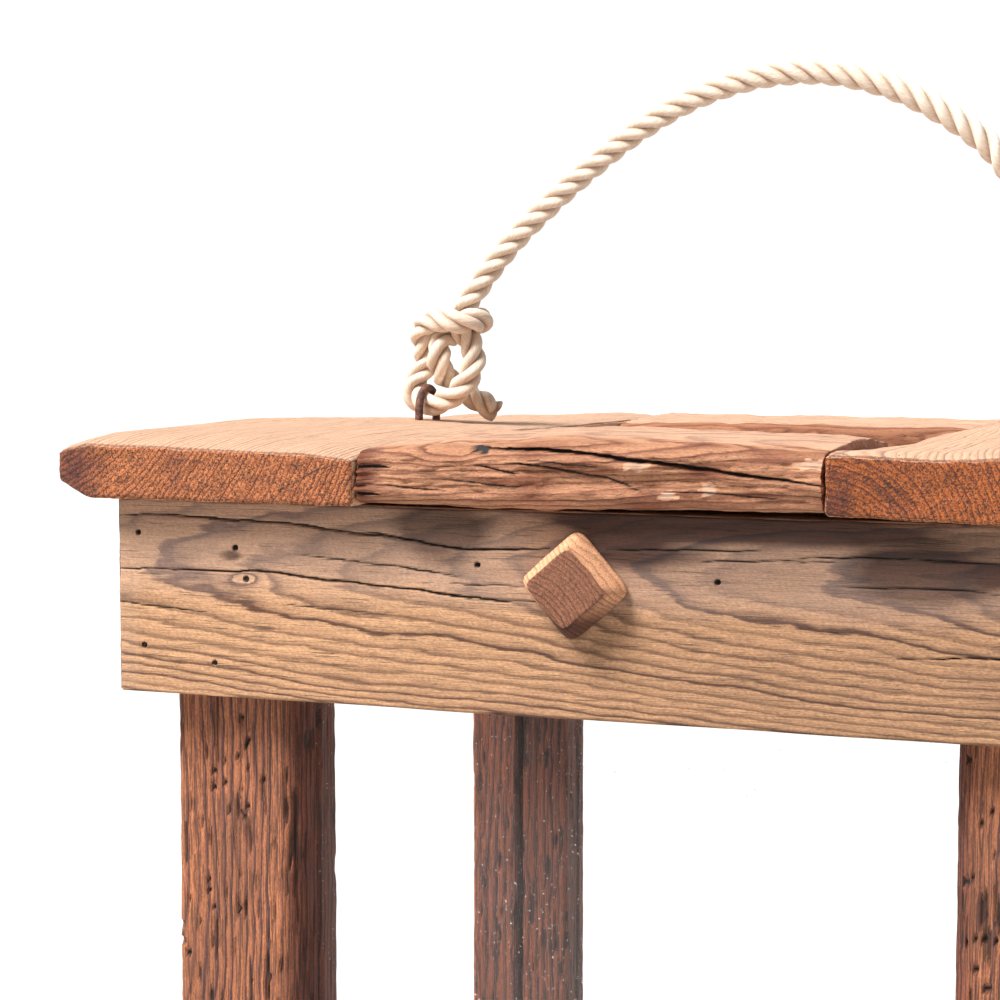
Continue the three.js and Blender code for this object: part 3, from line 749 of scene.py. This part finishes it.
def side_board(side, thickness, seed):
    """A plank that runs front to back. Its top is crowned, its outer edge a blunt nose."""
    low, high = mm_box(f"lid_board_{side}")
    sign = -1 if side == "left" else 1
    inner, outer = (high[0], low[0]) if sign < 0 else (low[0], high[0])
    xs, ys = stations(low[0], high[0], 1.3), stations(low[1], high[1], 3.0)
    points, quads = block(xs, ys, stations(0, thickness, 0.8))
    points, out = rounded(points, (*low[:2], 0), (*high[:2], thickness), lid_arris)
    across = np.abs(points[:, 0] - outer)  # mm in from the outer edge
    y, share = points[:, 1], points[:, 2] / thickness
    # The nose: the underside is chamfered away, and the top falls in a long curve. Each board
    # was hewn thinner towards the back, and towards the opening.
    if side == "left":
        places = [-230, -222, -205, -70, 48, 160, 230]
        rises = [0.2, 2.2, 4.2, 4.4, -1.2, -7.0, -8.0]
        drop, hollowed, blunt = 2.5, 0.0, 4.5
    else:
        places = [-230, -224, -215, -170, -80, 0, 230]
        rises = [0.4, 2.8, 4.0, 3.5, 1.0, 0.0, -1.5]
        drop, hollowed, blunt = np.interp(y, [-230, -180, -60, 90], [0.0, 1.5, 6.0, 6.5]), 2.2, 0.0
    rise = np.interp(y, places, rises)
    top = thickness + rise * np.interp(across, [0, 20, 130], [0.85, 1.0, 0.45])
    top -= 3.0 * np.clip(1 - across / 10, 0, 1) ** 1.5
    from_opening = np.abs(points[:, 0] - inner)
    top -= drop * np.clip(1 - from_opening / 38, 0, 1) ** 1.5
    top += 0.8 * layered(points * [1, 1, 0], [34.0, 130.0, 1.0], seed, 2)
    under = 7.5 * np.clip(1 - across / 11, 0, 1) ** 1.1
    under += hollowed * np.clip(1 - from_opening / 90, 0, 1)
    points[:, 2] = under + share * (top - under)
    points[:, 0] -= blunt * np.clip(1 - across / 16, 0, 1)
    wander = 1.8 * noise(np.stack([y / 90, 0 * y, 0 * y + seed], 1), seed)
    points[:, 0] -= np.clip(1 - across / 60, 0, 1) * wander * sign
    # Crumbled arris where the end grain meets the top.
    arris = 1 - np.abs(out).max(1)
    worn = -3.4 * arris * (0.55 + 0.6 * noise(points / 6, seed + 4))
    worn += 0.25 * layered(points, [6.0, 60.0, 6.0], seed + 8)
    worn += 0.10 * noise(points / [1.3, 14, 1.3], seed + 5)
    end = np.abs(out[:, 1]) > 0.75
    rough = 0.28 * noise(points / 1.6, seed + 31) + 0.35 * layered(points, 7.0, seed + 33, 2)
    points = points + out * (worn + end * rough)[:, None]
    # Sawn softwood ends are full of torn pores, painted dark as their shade.
    crumb = np.clip(2.6 * noise(points / [1.0, 3.0, 1.0], seed + 12) - 0.9, 0, 1) * end
    return points, quads, crumb, out, across


for side, board in side_boards.items():
    seed = board["seed"]
    points, quads, crumb, out, across = side_board(side, board["thickness"], seed)
    x, z = points[:, 0], points[:, 2]
    front = out[:, 1] < -0.6
    # A band of old purple-brown stain by the nose, or in the end's inner lower corner.
    if side == "left":
        lines, stained = [([(-133, 5), (-112, 17)], 0.5, 2)], np.clip(1.5 - across / 14, 0, 1)
    else:
        lines = [([(108, 18), (122, 7)], 0.6, 2), ([(113, 19), (130, 6)], 0.5, 2)]
        stained = np.clip(2.2 - np.abs(x - 99) / 3, 0, 1) * (z < 19)
    dark = checks(x, z, lines, seed)[1] * front
    speckle = np.clip(noise(points / [9.0, 9.0, 5.0], seed + 40) - 0.3, 0, 1) * 0.8
    stained = stained * (0.8 + 0.4 * noise(points / 5, seed)) * (front | (across < 9))
    stain_and_shade = np.where(out[:, 2] > 0.6, -0.65, np.maximum(stained, speckle * front))
    material = timber(
        f"lid plank, {side}", "Y", board["pith"], 2.3, seed=float(seed), figure=4.0,
        contrast=1.2, grit=1.3, end_tone=board["end_tone"], stain_shade_tone="#a191ae", **lid_colours,
    )
    hollow = np.maximum(0.5 * crumb, dark)
    node = f"lid_board_{side}"
    wooden(f"lid_plank_{side}", node, points, quads, material, hollow, stain_and_shade)

front_splits = [
    ([(-51, 27), (-42, 25), (-18, 24), (-3, 23), (18, 21), (33, 20), (58, 17),
      (95, 13.5)], 0.8, 5.0),
    ([(10, 22.5), (33, 20), (40, 19)], 0.5, 2.0),
    ([(-34, 19.5), (-14, 17), (7, 14), (22, 8)], 0.6, 2.0),
    ([(-47, 19), (-38, 17), (-30, 15)], 0.5, 2.0),
    ([(-99, 12), (-75, 9), (-60, 8)], 0.35, 1.2),
    ([(-62, 13), (-40, 11), (-28, 10)], 0.4, 1.2),
    ([(30, 9), (50, 8.5), (75, 7)], 0.4, 1.5),
    ([(-100, 20), (-84, 19)], 0.9, 2.5),
    ([(-100, 7), (-88, 6)], 0.7, 2.0),
    ([(-24, 20), (4, 18)], 0.3, 1.0),
]
front_thickness, back_thickness = 28.0, 18.0


def cross_board(place, thickness, seed, splits, step):
    """A plank between the side boards, its long grain to the front, weathered round."""
    low, high = mm_box(f"lid_board_{place}")
    xs, ys = stations(low[0], high[0], 1.6), stations(low[1], high[1], 2.2)
    points, quads = block(xs, ys, stations(0, thickness, step))
    points, out = rounded(points, (*low[:2], 0), (*high[:2], thickness), lid_arris)
    a, b = points[:, 0], points[:, 2]
    # The front face bulges, so that its arrises are rounded off but its ends stay square.
    behind = np.clip(1 - (points[:, 1] - low[1]) / 16, 0, 1)
    points[:, 1] += 7.0 * np.abs(2 * b / thickness - 1) ** 4 * behind
    seen = out[:, 1] < -0.25
    worn = 0.8 * layered(points, [38.0, 22.0, 9.0], seed)
    worn += 0.22 * layered(points, [20.0, 1.8, 1.8], seed + 2, 2)
    worn += 0.35 * layered(points, [9.0, 5.0, 3.0], seed + 5)
    depth, dark = checks(a, b, splits, seed)
    points = points + out * (worn - seen * depth - 0.8)[:, None]
    return points, quads, seen * dark, seen, low[1]


points, quads, dark, seen, front_y = cross_board("front", front_thickness, 9, front_splits, 0.45)
a, b = points[:, 0].copy(), points[:, 2].copy()
share = np.clip(b / front_thickness, 0, 1)
# Torn layers end in ragged ledges: a noise cut into steps of 0.9 mm.
steps = 2.3 * layered(points, [34.0, 16.0, 6.0], 61, 3)
ledge = np.floor(steps) + np.clip((steps - np.floor(steps)) / 0.15, 0, 1)
torn = 0.9 * ledge + 0.35 * layered(points, [11.0, 3.0, 1.1], 63, 2)
# The left end has broken off across the fibres, and dark holes mark where the long split starts.
broken = np.clip((-88 - a) / 8, 0, 1)
torn += 1.3 * broken * noise(points / [14.0, 5.0, 1.3], 67)
hole_depth, hole_dark = pits(a, b, [(-47.5, 26.0, 2.0, 4), (-44, 24.5, 1.6, 3)])
# Layers have split off below the long split, and a sliver still stands over one hollow.
for centre, level, wide, tall, deep in (
    (-62, 9, 26, 7, 1.6), (-8, 13.5, 27, 6, 2.8), (40, 9, 30, 8, 2.2), (80, 6, 18, 5, 1.5),
    (-90, 15, 10, 9, 1.5),
):
    fall = ((a - centre) / wide) ** 2 + ((b - level + 0.8 * noise(points / 9, 71)) / tall) ** 2
    torn -= deep * np.clip(1.25 * (1 - fall), 0, 1) ** 0.7
face = np.clip(1 - (points[:, 1] - front_y) / 9, 0, 1) * np.clip(4 * share, 0, 1)
points[:, 1] -= face * (torn - hole_depth)
dark = np.maximum(dark, hole_dark * seen)
# Its top is crowned, thinner at both ends, and its right half bows up off the beam.
crown = np.interp(points[:, 1], [-230, -215, -170, -140, -100], [-0.5, 0.5, 2.0, 1.2, -2.7])
ends = np.interp(a, [-100, -60, -20, 49, 80, 94], [-5.0, -1.5, 1.0, 0.0, -0.8, -1.8])
points[:, 2] += share * (crown + ends) + 1.8 * np.clip((a + 40) / 120, 0, 1) * (1 - share)
# Its face is greyed, its top bleached, and fresh chips along the split are pale.
grey = np.clip(1.1 * layered(points, [24.0, 20.0, 6.0], 77, 2) + 0.1, 0, 1) + broken
stain_and_shade = (0.5 + 0.45 * grey) * np.clip((front_y + 24 - points[:, 1]) / 16, 0, 1)
stain_and_shade = np.where(points[:, 1] > front_y + 24, -0.7, stain_and_shade)
for chip_a, chip_b, wide in ((20, 19, 4), (32, 7, 3), (48, 10, 2.5), (89, 22, 6)):
    away = np.hypot((a - chip_a) / wide, (b - chip_b) / 2.2) + 0.5 * noise(points / 1.5, 81)
    stain_and_shade = np.where((away < 1) & seen, -1.0, stain_and_shade)
cross_looks = {**lid_colours, "end_tone": "#efb98e"}
front_looks = {**cross_looks, "early": "#d39d76", "stain_shade_tone": "#8f6650"}
material = timber(
    "weathered front plank", "X", (-190.0, -48.0), 2.6, seed=9.0, figure=12.0, stains=0.45,
    grit=1.7, contrast=1.3, knot=(-60.0, 22.0, 12.0), **front_looks,
)
node = "lid_board_front"
wooden("lid_plank_front", node, points, quads, material, dark, stain_and_shade)

points, quads, dark, seen, _ = cross_board("back", back_thickness, 15, [], 0.9)
material = timber(
    "back lid plank", "X", (330.0, -40.0), 2.4, seed=14.0, figure=14.0, stain_shade_tone="#a06a48",
    **cross_looks,
)
# Its front face, the far wall of the opening, is painted with shade, and its top is bleached.
stain_and_shade = np.where(seen, 0.75, -0.7)
wooden("lid_plank_back", "lid_board_back", points, quads, material, dark, stain_and_shade)


# ---- Posts: dark old softwood, worm-eaten and fissured, with worn arrises
# Each has a groove for a pane in both of its inner faces, and a rebate behind each beam, which
# is nailed to it.
def worm_holes(low, high, count, seed):
    """Round flight holes of wood worm, 1 to 2 mm across, scattered in clusters."""
    chance = np.random.default_rng(seed)
    middles = chance.uniform(low, high, (max(1, count // 5), 2))
    picks = middles[chance.integers(0, len(middles), count)] + chance.normal(0, 9, (count, 2))
    sizes = chance.uniform(0.6, 1.3, count)
    return [(a, b, r, 2.2) for (a, b), r in zip(np.clip(picks, low, high), sizes)]


post_colours = dict(
    early="#ac6a45", late="#553230", end_tone="#a07a66", stain="#4d3229", stain_shade_tone="#8b5a48",
)
groove_half, groove_deep, pane_half = 2.6, 7.8, 2.0
rebate_face, quarter_round = 190.6, 10.0
# The outer sides of the two panes that lie on each corner, right and back.
glass_right, glass_back = mm_box("glass_right")[0][0], mm_box("glass_back")[0][1]
beam_levels = [tuple(c[2] for c in mm_box(f"{level}_beam_front")) for level in ("upper", "lower")]
for number, place in enumerate(("front_left", "front_right", "back_left", "back_right")):
    low, high = mm_box(f"post_{place}")
    end_sign = -1 if "front" in place else 1
    side_sign = -1 if "left" in place else 1
    faces_out = ((0, side_sign), (1, end_sign))
    pane = [side_sign * (glass_right + pane_half), end_sign * (glass_back + pane_half)]
    cuts = [[p + s * groove_half + t for s in (-1, 1) for t in (-0.05, 0.05)] for p in pane]
    level_cuts = [z + s for level in beam_levels for z in level for s in (-0.4, 0.4)]
    points, quads = block(
        stations(low[0], high[0], 0.8, extra=cuts[0]),
        stations(low[1], high[1], 0.9, extra=cuts[1]),
        stations(low[2], high[2], 2.4, extra=level_cuts),
    )
    points, out = rounded(points, low, high, 2.2)
    # The arris between the post's outer face and its pane is worn to a quarter round.
    inner_x, outer_y = min(abs(low[0]), abs(high[0])), max(abs(low[1]), abs(high[1]))
    middle = [side_sign * (inner_x + quarter_round), end_sign * (outer_y - quarter_round)]
    away = points[:, :2] - middle
    reach = np.linalg.norm(away, axis=1)
    corner = (away[:, 0] * side_sign < 0) & (away[:, 1] * end_sign > 0) & (reach > quarter_round)
    turned = middle + away * (quarter_round / np.maximum(reach, 1e-6))[:, None]
    points[:, :2] = np.where(corner[:, None], turned, points[:, :2])
    seed = 60 + number
    flat = points.copy()
    ragged = layered(points, [1.9, 1.9, 15.0], seed + 2, 2)
    slow = 0.25 * noise(points / [14.0, 14.0, 50.0], seed + 8)
    fissure = np.clip(3.2 * (ragged - 0.5 + slow), 0, 1)
    worn = 0.4 * layered(points, [9.0, 9.0, 70.0], seed) - 1.4 * fissure
    worn += 0.25 * layered(points, [1.9, 1.9, 7.0], seed + 4, 2)
    arris = 1 - np.abs(out).max(1)
    worn -= 2.0 * arris * (0.5 + 0.8 * noise(points / 18, seed + 3))
    # The fissures are painted with their shade.
    hollow = 0.75 * fissure
    # The outer faces have worm holes, and three long splits each.
    holes = worm_holes((low[0], low[2]), (high[0], high[2]), 260, seed)
    for axis, face in reversed(faces_out):
        other = 1 - axis
        shift = low[other] - low[0]
        moved = [(a + shift, *rest) for a, *rest in holes]
        depth, dark = pits(points[:, other], points[:, 2], moved)
        lines = []
        for k, off in enumerate((-14, 3, 12)):
            start, across = low[2] + 60 + 37 * k, (low[other] + high[other]) / 2 + off
            lines.append(([(start, across), (start + 270, across + 2)], 0.5, 2.5))
        split_depth, split_dark = checks(points[:, 2], points[:, other], lines, seed)
        on = out[:, axis] * face > 0.7
        worn = np.where(on, worn - np.maximum(depth, split_depth), worn)
        hollow = np.where(on, np.maximum(np.maximum(dark, split_dark), hollow), hollow)
    points = points + out * (worn + 0.7)[:, None]
    for axis, face in faces_out:
        in_groove = (out[:, axis] * -face > 0.8) & (
            np.abs(flat[:, 1 - axis] - pane[1 - axis]) < groove_half
        )
        points[in_groove, axis] += face * groove_deep
        # The groove is painted with its shade.
        hollow[in_groove] = 0.5
        for under, over in beam_levels:
            behind = (flat[:, 2] > under - 0.1) & (flat[:, 2] < over + 0.1)
            skin = behind & (out[:, axis] * face > 0.05)
            points[skin, axis] = face * np.minimum(face * points[skin, axis], rebate_face)
    material = timber(
        f"dark post, {place}", "Z", (side_sign * 230.0, end_sign * 260.0), 2.6,
        seed=float(seed), figure=7.0, stains=0.5, grit=1.9, crazed=0.12, contrast=1.5,
        **post_colours,
    )
    # All but the outer faces, and the quarter round by the pane, are darkened.
    outward = np.maximum(out[:, 0] * side_sign, out[:, 1] * end_sign)
    from_pane = side_sign * (flat[:, 0] - side_sign * inner_x)
    stain_and_shade = 0.75 * np.maximum(outward <= 0.5, np.clip(1.25 - from_pane / 8, 0, 1))
    node = f"post_{place}"
    wooden(f"corner_{node}", node, points, quads, material, hollow, stain_and_shade)


# ---- Base boards and lid cleats: plain sawn boards of the same old softwood
# The three base boards close the bottom and carry the lantern when it stands. The two cleats
# tie the lid's boards together below and are screwed to them.
for number, place in enumerate(("left", "middle", "right")):
    node = f"base_board_{place}"
    low, high = mm_box(node)
    grid = [stations(low[k], high[k], step) for k, step in enumerate((2.6, 5.0, 1.6))]
    points, quads = block(*grid)
    points, out = rounded(points, low, high, 2.2)
    raised = points[:, 2] >= low[2] + 0.01
    worn = 0.45 * layered(points, [12.0, 80.0, 8.0], 90 + number)
    worn += 0.1 * noise(points / [1.6, 20, 1.6], 95)
    worn -= 2.5 * (1 - np.abs(out).max(1)) * (0.5 + noise(points / 12, 97))
    points = points + out * (raised * (worn - 0.5))[:, None]
    points[:, 2] = np.maximum(points[:, 2], low[2])
    material = timber(
        f"base plank, {place}", "Y", ((low[0] + high[0]) / 2, -760.0), 2.5,
        seed=30.0 + number, figure=12.0, stains=0.5, **beam_colours,
    )
    wooden(f"base_plank_{place}", node, points, quads, material, 0.0)
cleat_wood = timber("sawn cleat", "X", (0.0, -80.0), 2.8, seed=41.0, **beam_colours)
dressed(["lid_cleat_front", "lid_cleat_back"], cleat_wood)


# ---- Pegs: a hewn square head turned on its corner, on a turned shank, driven through the beam
# The knife has left flat facets, and the end grain shows on the head's face.
peg_material = timber(
    "knife-cut peg", "Y", (-35.0, -58.0), 1.9, early="#ebae83", late="#9c694a",
    end_tone="#a38f8a", stain="#8a5d45", figure=3.0, stains=0.1, seed=5.0, open_pores=0.45,
    grit=1.4, stain_shade_tone="#66524b",
)
beam_face, peg_sides, peg_end = 216.0, 96, 61.5


def peg_surface(face):
    """A square of rounded corners carried along the peg's axis: wide at the beam, narrow at the
    head's face, then a round shank. The face closes in rings so that it can be dished."""
    around = np.linspace(0, 2 * math.pi, peg_sides + 1)[:-1] + math.pi / 4
    square = 1 / (np.abs(np.cos(around)) ** 8 + np.abs(np.sin(around)) ** 8) ** (1 / 8)
    # Each row is a depth along the axis, a size and whether it is square.
    rows = [(-14.0, share * 11.4, 1) for share in np.linspace(0.05, 0.97, 12)]
    rows += [(-13.9, 11.7, 1), (-13.5, 12.1, 1)]
    rows += [(-13.2 + t, 12.2 + 4.0 * (t / 9.5) ** 0.8, 1) for t in np.linspace(0.15, 9.5, 16)]
    rows += [(-2.8, 16.5, 1), (-1.5, 16.6, 1), (-0.5, 16.3, 1), (-0.35, 15.8, 1), (-0.3, 11.2, 0)]
    rows += [(t, 11.0, 0) for t in np.linspace(0.2, 61, 12)] + [(peg_end, 10.2, 0)]
    depth, size, squareness = np.array(rows).T[:, :, None]
    reach = size * np.where(squareness, square, 1.0)
    turned_by = around + math.pi / 4 - 0.06
    points = np.stack([reach * np.cos(turned_by), depth + 0 * reach, reach * np.sin(turned_by)], -1)
    head = points[:, :, 1] < -0.4
    # Knife facets: each side is cut in flats that meet at slight ridges.
    lumps = 0.28 * layered(points.reshape(-1, 3), [6.0, 5.0, 6.0], 12, 2).reshape(head.shape)
    points[..., 0] += head * lumps
    points[..., 2] -= head * 0.7 * lumps
    relief = 0.22 * noise(points.reshape(-1, 3) / 1.7, 3).reshape(head.shape)
    points[..., 1] += (points[..., 1] < -13.7) * relief
    flat = np.vstack([points.reshape(-1, 3), [0, rows[0][0], 0], [0, peg_end, 0]])
    return flat * ([-1, -1, 1] if face > 0 else 1), tube_faces(len(rows), peg_sides)


for place, face in (("front", -1), ("back", 1)):
    flat, faces = peg_surface(face)
    points = flat + [peg_x, face * beam_face, -peg_drop]
    faces = [row[::-1] for row in faces]
    # The lower sides of the head are painted with shade.
    stain_and_shade = np.clip(-flat[:, 2] / 14, 0, 1) * (flat[:, 1] > -13.6)
    node = f"peg_{place}"
    wooden(f"oak_{node}", node, points, faces, peg_material, 0.0, stain_and_shade, body=node)


# ---- Panes: old window glass, 4 mm thick, slid into the posts' grooves
# It is clear, and shows a film of dust, specks of about 1 mm and a soft reflection of the room.
pane_material, tree, shader = new_material("dusty window glass")
place = add(tree, "TexCoord", output="Object")
dust = add(tree, "TexNoise", {"Vector": place, "Scale": 9.0, "Detail": 4.0})
film = add(tree, "MapRange", [dust, 0.3, 0.8, 0.01, 0.035])
specks = add(tree, "TexNoise", {"Vector": place, "Scale": 900.0, "Detail": 1.0})
speck = add(tree, "MapRange", [specks, 0.72, 0.78, 0.0, 0.5])
cover = add(tree, "Math MAXIMUM", [film, speck])
feed(shader, {"Base Color": "#f3ece6", "Roughness": 0.12, "Alpha": cover})
dressed([f"glass_{place}" for place in ("front", "back", "left", "right")], pane_material)


# ---- Candle: a cast pillar candle with a plaited wick, on a blackened iron plate
# The plate is dished from sheet iron and stands loose on the base boards.
def turned(profile, sides=120, ripple=0.0, seed=0):
    """A profile of (radius, height) turned round the upright axis, closed at both poles."""
    profile = np.array(profile, float)
    around = np.linspace(0, 2 * math.pi, sides, endpoint=False)
    radius, height = profile[1:-1, :, None].transpose(1, 0, 2)
    ring = [radius * np.cos(around), radius * np.sin(around), height + 0 * around]
    flat = np.stack(ring, axis=-1).reshape(-1, 3)
    if ripple:
        swell = 1 + ripple * layered(flat, [14.0, 14.0, 22.0], seed) / 40
        flat = flat * np.stack([swell, swell, np.ones(len(flat))], 1)
    poles = [[0, 0, profile[0, 1]], [0, 0, profile[-1, 1]]]
    return np.vstack([flat, poles]), tube_faces(len(profile) - 2, sides)


# Wax is creamy and lets light a little way in.
wax_material, tree, shader = new_material("cast wax")
place = add(tree, "TexCoord", output="Object")
mottle = add(tree, "TexNoise", {"Vector": place, "Scale": 60.0, "Detail": 3.0})
feed(shader, {
    "Base Color": "#f0e2c4",
    "Roughness": 0.45,
    "Subsurface Weight": 0.35,
    "Subsurface Radius": (0.012, 0.006, 0.003),
    "Subsurface Scale": 0.5,
    "Normal": add(tree, "Bump", {"Strength": 0.25, "Distance": 0.0008, "Height": mottle}),
})
candle_low, candle_high = mm_box("candle")
foot, top = candle_low[2], candle_high[2]
profile = [(0, foot), (38.5, foot), (39.6, foot + 1)]
profile += [(39.7, z) for z in np.linspace(foot + 3, top - 5, 40)]
profile += [(39.3, top - 2), (38, top - 0.4), (36, top), (33, top - 0.8), (29, top - 2.6)]
profile += [(22, top - 3.6), (12, top - 4.2), (3, top - 4.0), (0, top - 4.0)]
points, faces = turned(profile, ripple=0.25, seed=3)
new_piece("pillar_candle", points, faces, wax_material, "candle_set", ["candle"])

wick_material, tree, shader = new_material("burnt cotton wick")
feed(shader, {"Base Color": "#231d1a", "Roughness": 0.95})
wick_low, wick_high = mm_box("candle_wick")
wick_rows, wick_sides = 26, 14
height = np.linspace(wick_low[2], wick_high[2] - 0.5, wick_rows)
bend = 1.6 * np.clip((height - height[-8]) / 9, 0, 1) ** 2
line = np.stack([bend, 0 * height, height], 1)
_, one, two = carried_frames(line)
around = np.linspace(0, 2 * math.pi, wick_sides, endpoint=False)
plait = 1.05 + 0.12 * np.sin(3 * around[None] + height[:, None] * 1.6)
ring = rings(line, plait[..., None], wick_sides, one, two)
points = np.vstack([ring.reshape(-1, 3), line[0], line[-1] + [0, 0, 0.5]])
faces = tube_faces(wick_rows, wick_sides)
new_piece("cotton_wick", points, faces, wick_material, "candle_set", ["candle_wick"])

# Blackened iron is nearly bare, with a brown cast in patches of about 11 mm.
plate_material, tree, shader = new_material("blackened iron plate")
place = add(tree, "TexCoord", output="Object")
scale = add(tree, "TexNoise", {"Vector": place, "Scale": 90.0, "Detail": 4.0})
black = graded(add(tree, "ValToRGB", [scale]), (0.35, "#25211f"), (0.7, "#4c3b31"))
feed(shader, {"Base Color": black, "Metallic": 0.8, "Roughness": 0.5})
low, high = mm_box("candle_plate")
foot, rim = low[2], high[2]
profile = [(0, foot), (54, foot), (56, foot + 0.3), (58, foot + 2), (61, foot + 6.5)]
profile += [(61.8, rim - 0.3), (61.3, rim), (60.6, rim - 0.3), (59.5, foot + 6.5)]
profile += [(56.5, foot + 3.2), (54, foot + 2), (0, foot + 2)]
points, faces = turned(profile)
new_piece("candle_dish", points, faces, plate_material, "candle_set", ["candle_plate"])


# ---- Floor and light: a pale floor, a white surround and one large soft key from the upper left
reach = 30
floor_mesh = bpy.data.meshes.new("floor")
corners = [(-reach, -reach, 0), (reach, -reach, 0), (reach, reach, 0), (-reach, reach, 0)]
floor_mesh.from_pydata(corners, [], [(0, 1, 2, 3)])
floor = bpy.data.objects.new("floor", floor_mesh)
floor_material, tree, shader = new_material("pale floor")
feed(shader, {"Base Color": "#cbcbca", "Roughness": 0.9})
floor_mesh.materials.append(floor_material)
bpy.context.scene.collection.objects.link(floor)
floor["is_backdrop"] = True

# The surround looks white to the eye and in reflections, and lights the object softly.
world = bpy.data.worlds.new("surround")
bpy.context.scene.world = world
world.use_nodes = True
tree = world.node_tree
ray = add(tree, "LightPath").node.outputs
is_seen = add(tree, "Math ADD", [ray["Is Camera Ray"], ray["Is Glossy Ray"]], use_clamp=True)
strength = add(tree, "MapRange", {"Value": is_seen, "To Min": 0.24, "To Max": 1.05})
feed(tree.nodes["Background"], {"Color": (1, 1, 1, 1), "Strength": strength})
key, fill = ((0.692, 0.0, -0.678), 6.6, 26), ((1.1, 0.0, 2.4), 0.5, 60)
for name, (angle, power, spread) in (("key", key), ("fill", fill)):
    light_data = bpy.data.lights.new(name, "SUN")
    light_data.energy = power
    light_data.angle = math.radians(spread)
    light = bpy.data.objects.new(name, light_data)
    light.rotation_euler = angle
    bpy.context.scene.collection.objects.link(light)

low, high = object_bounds()
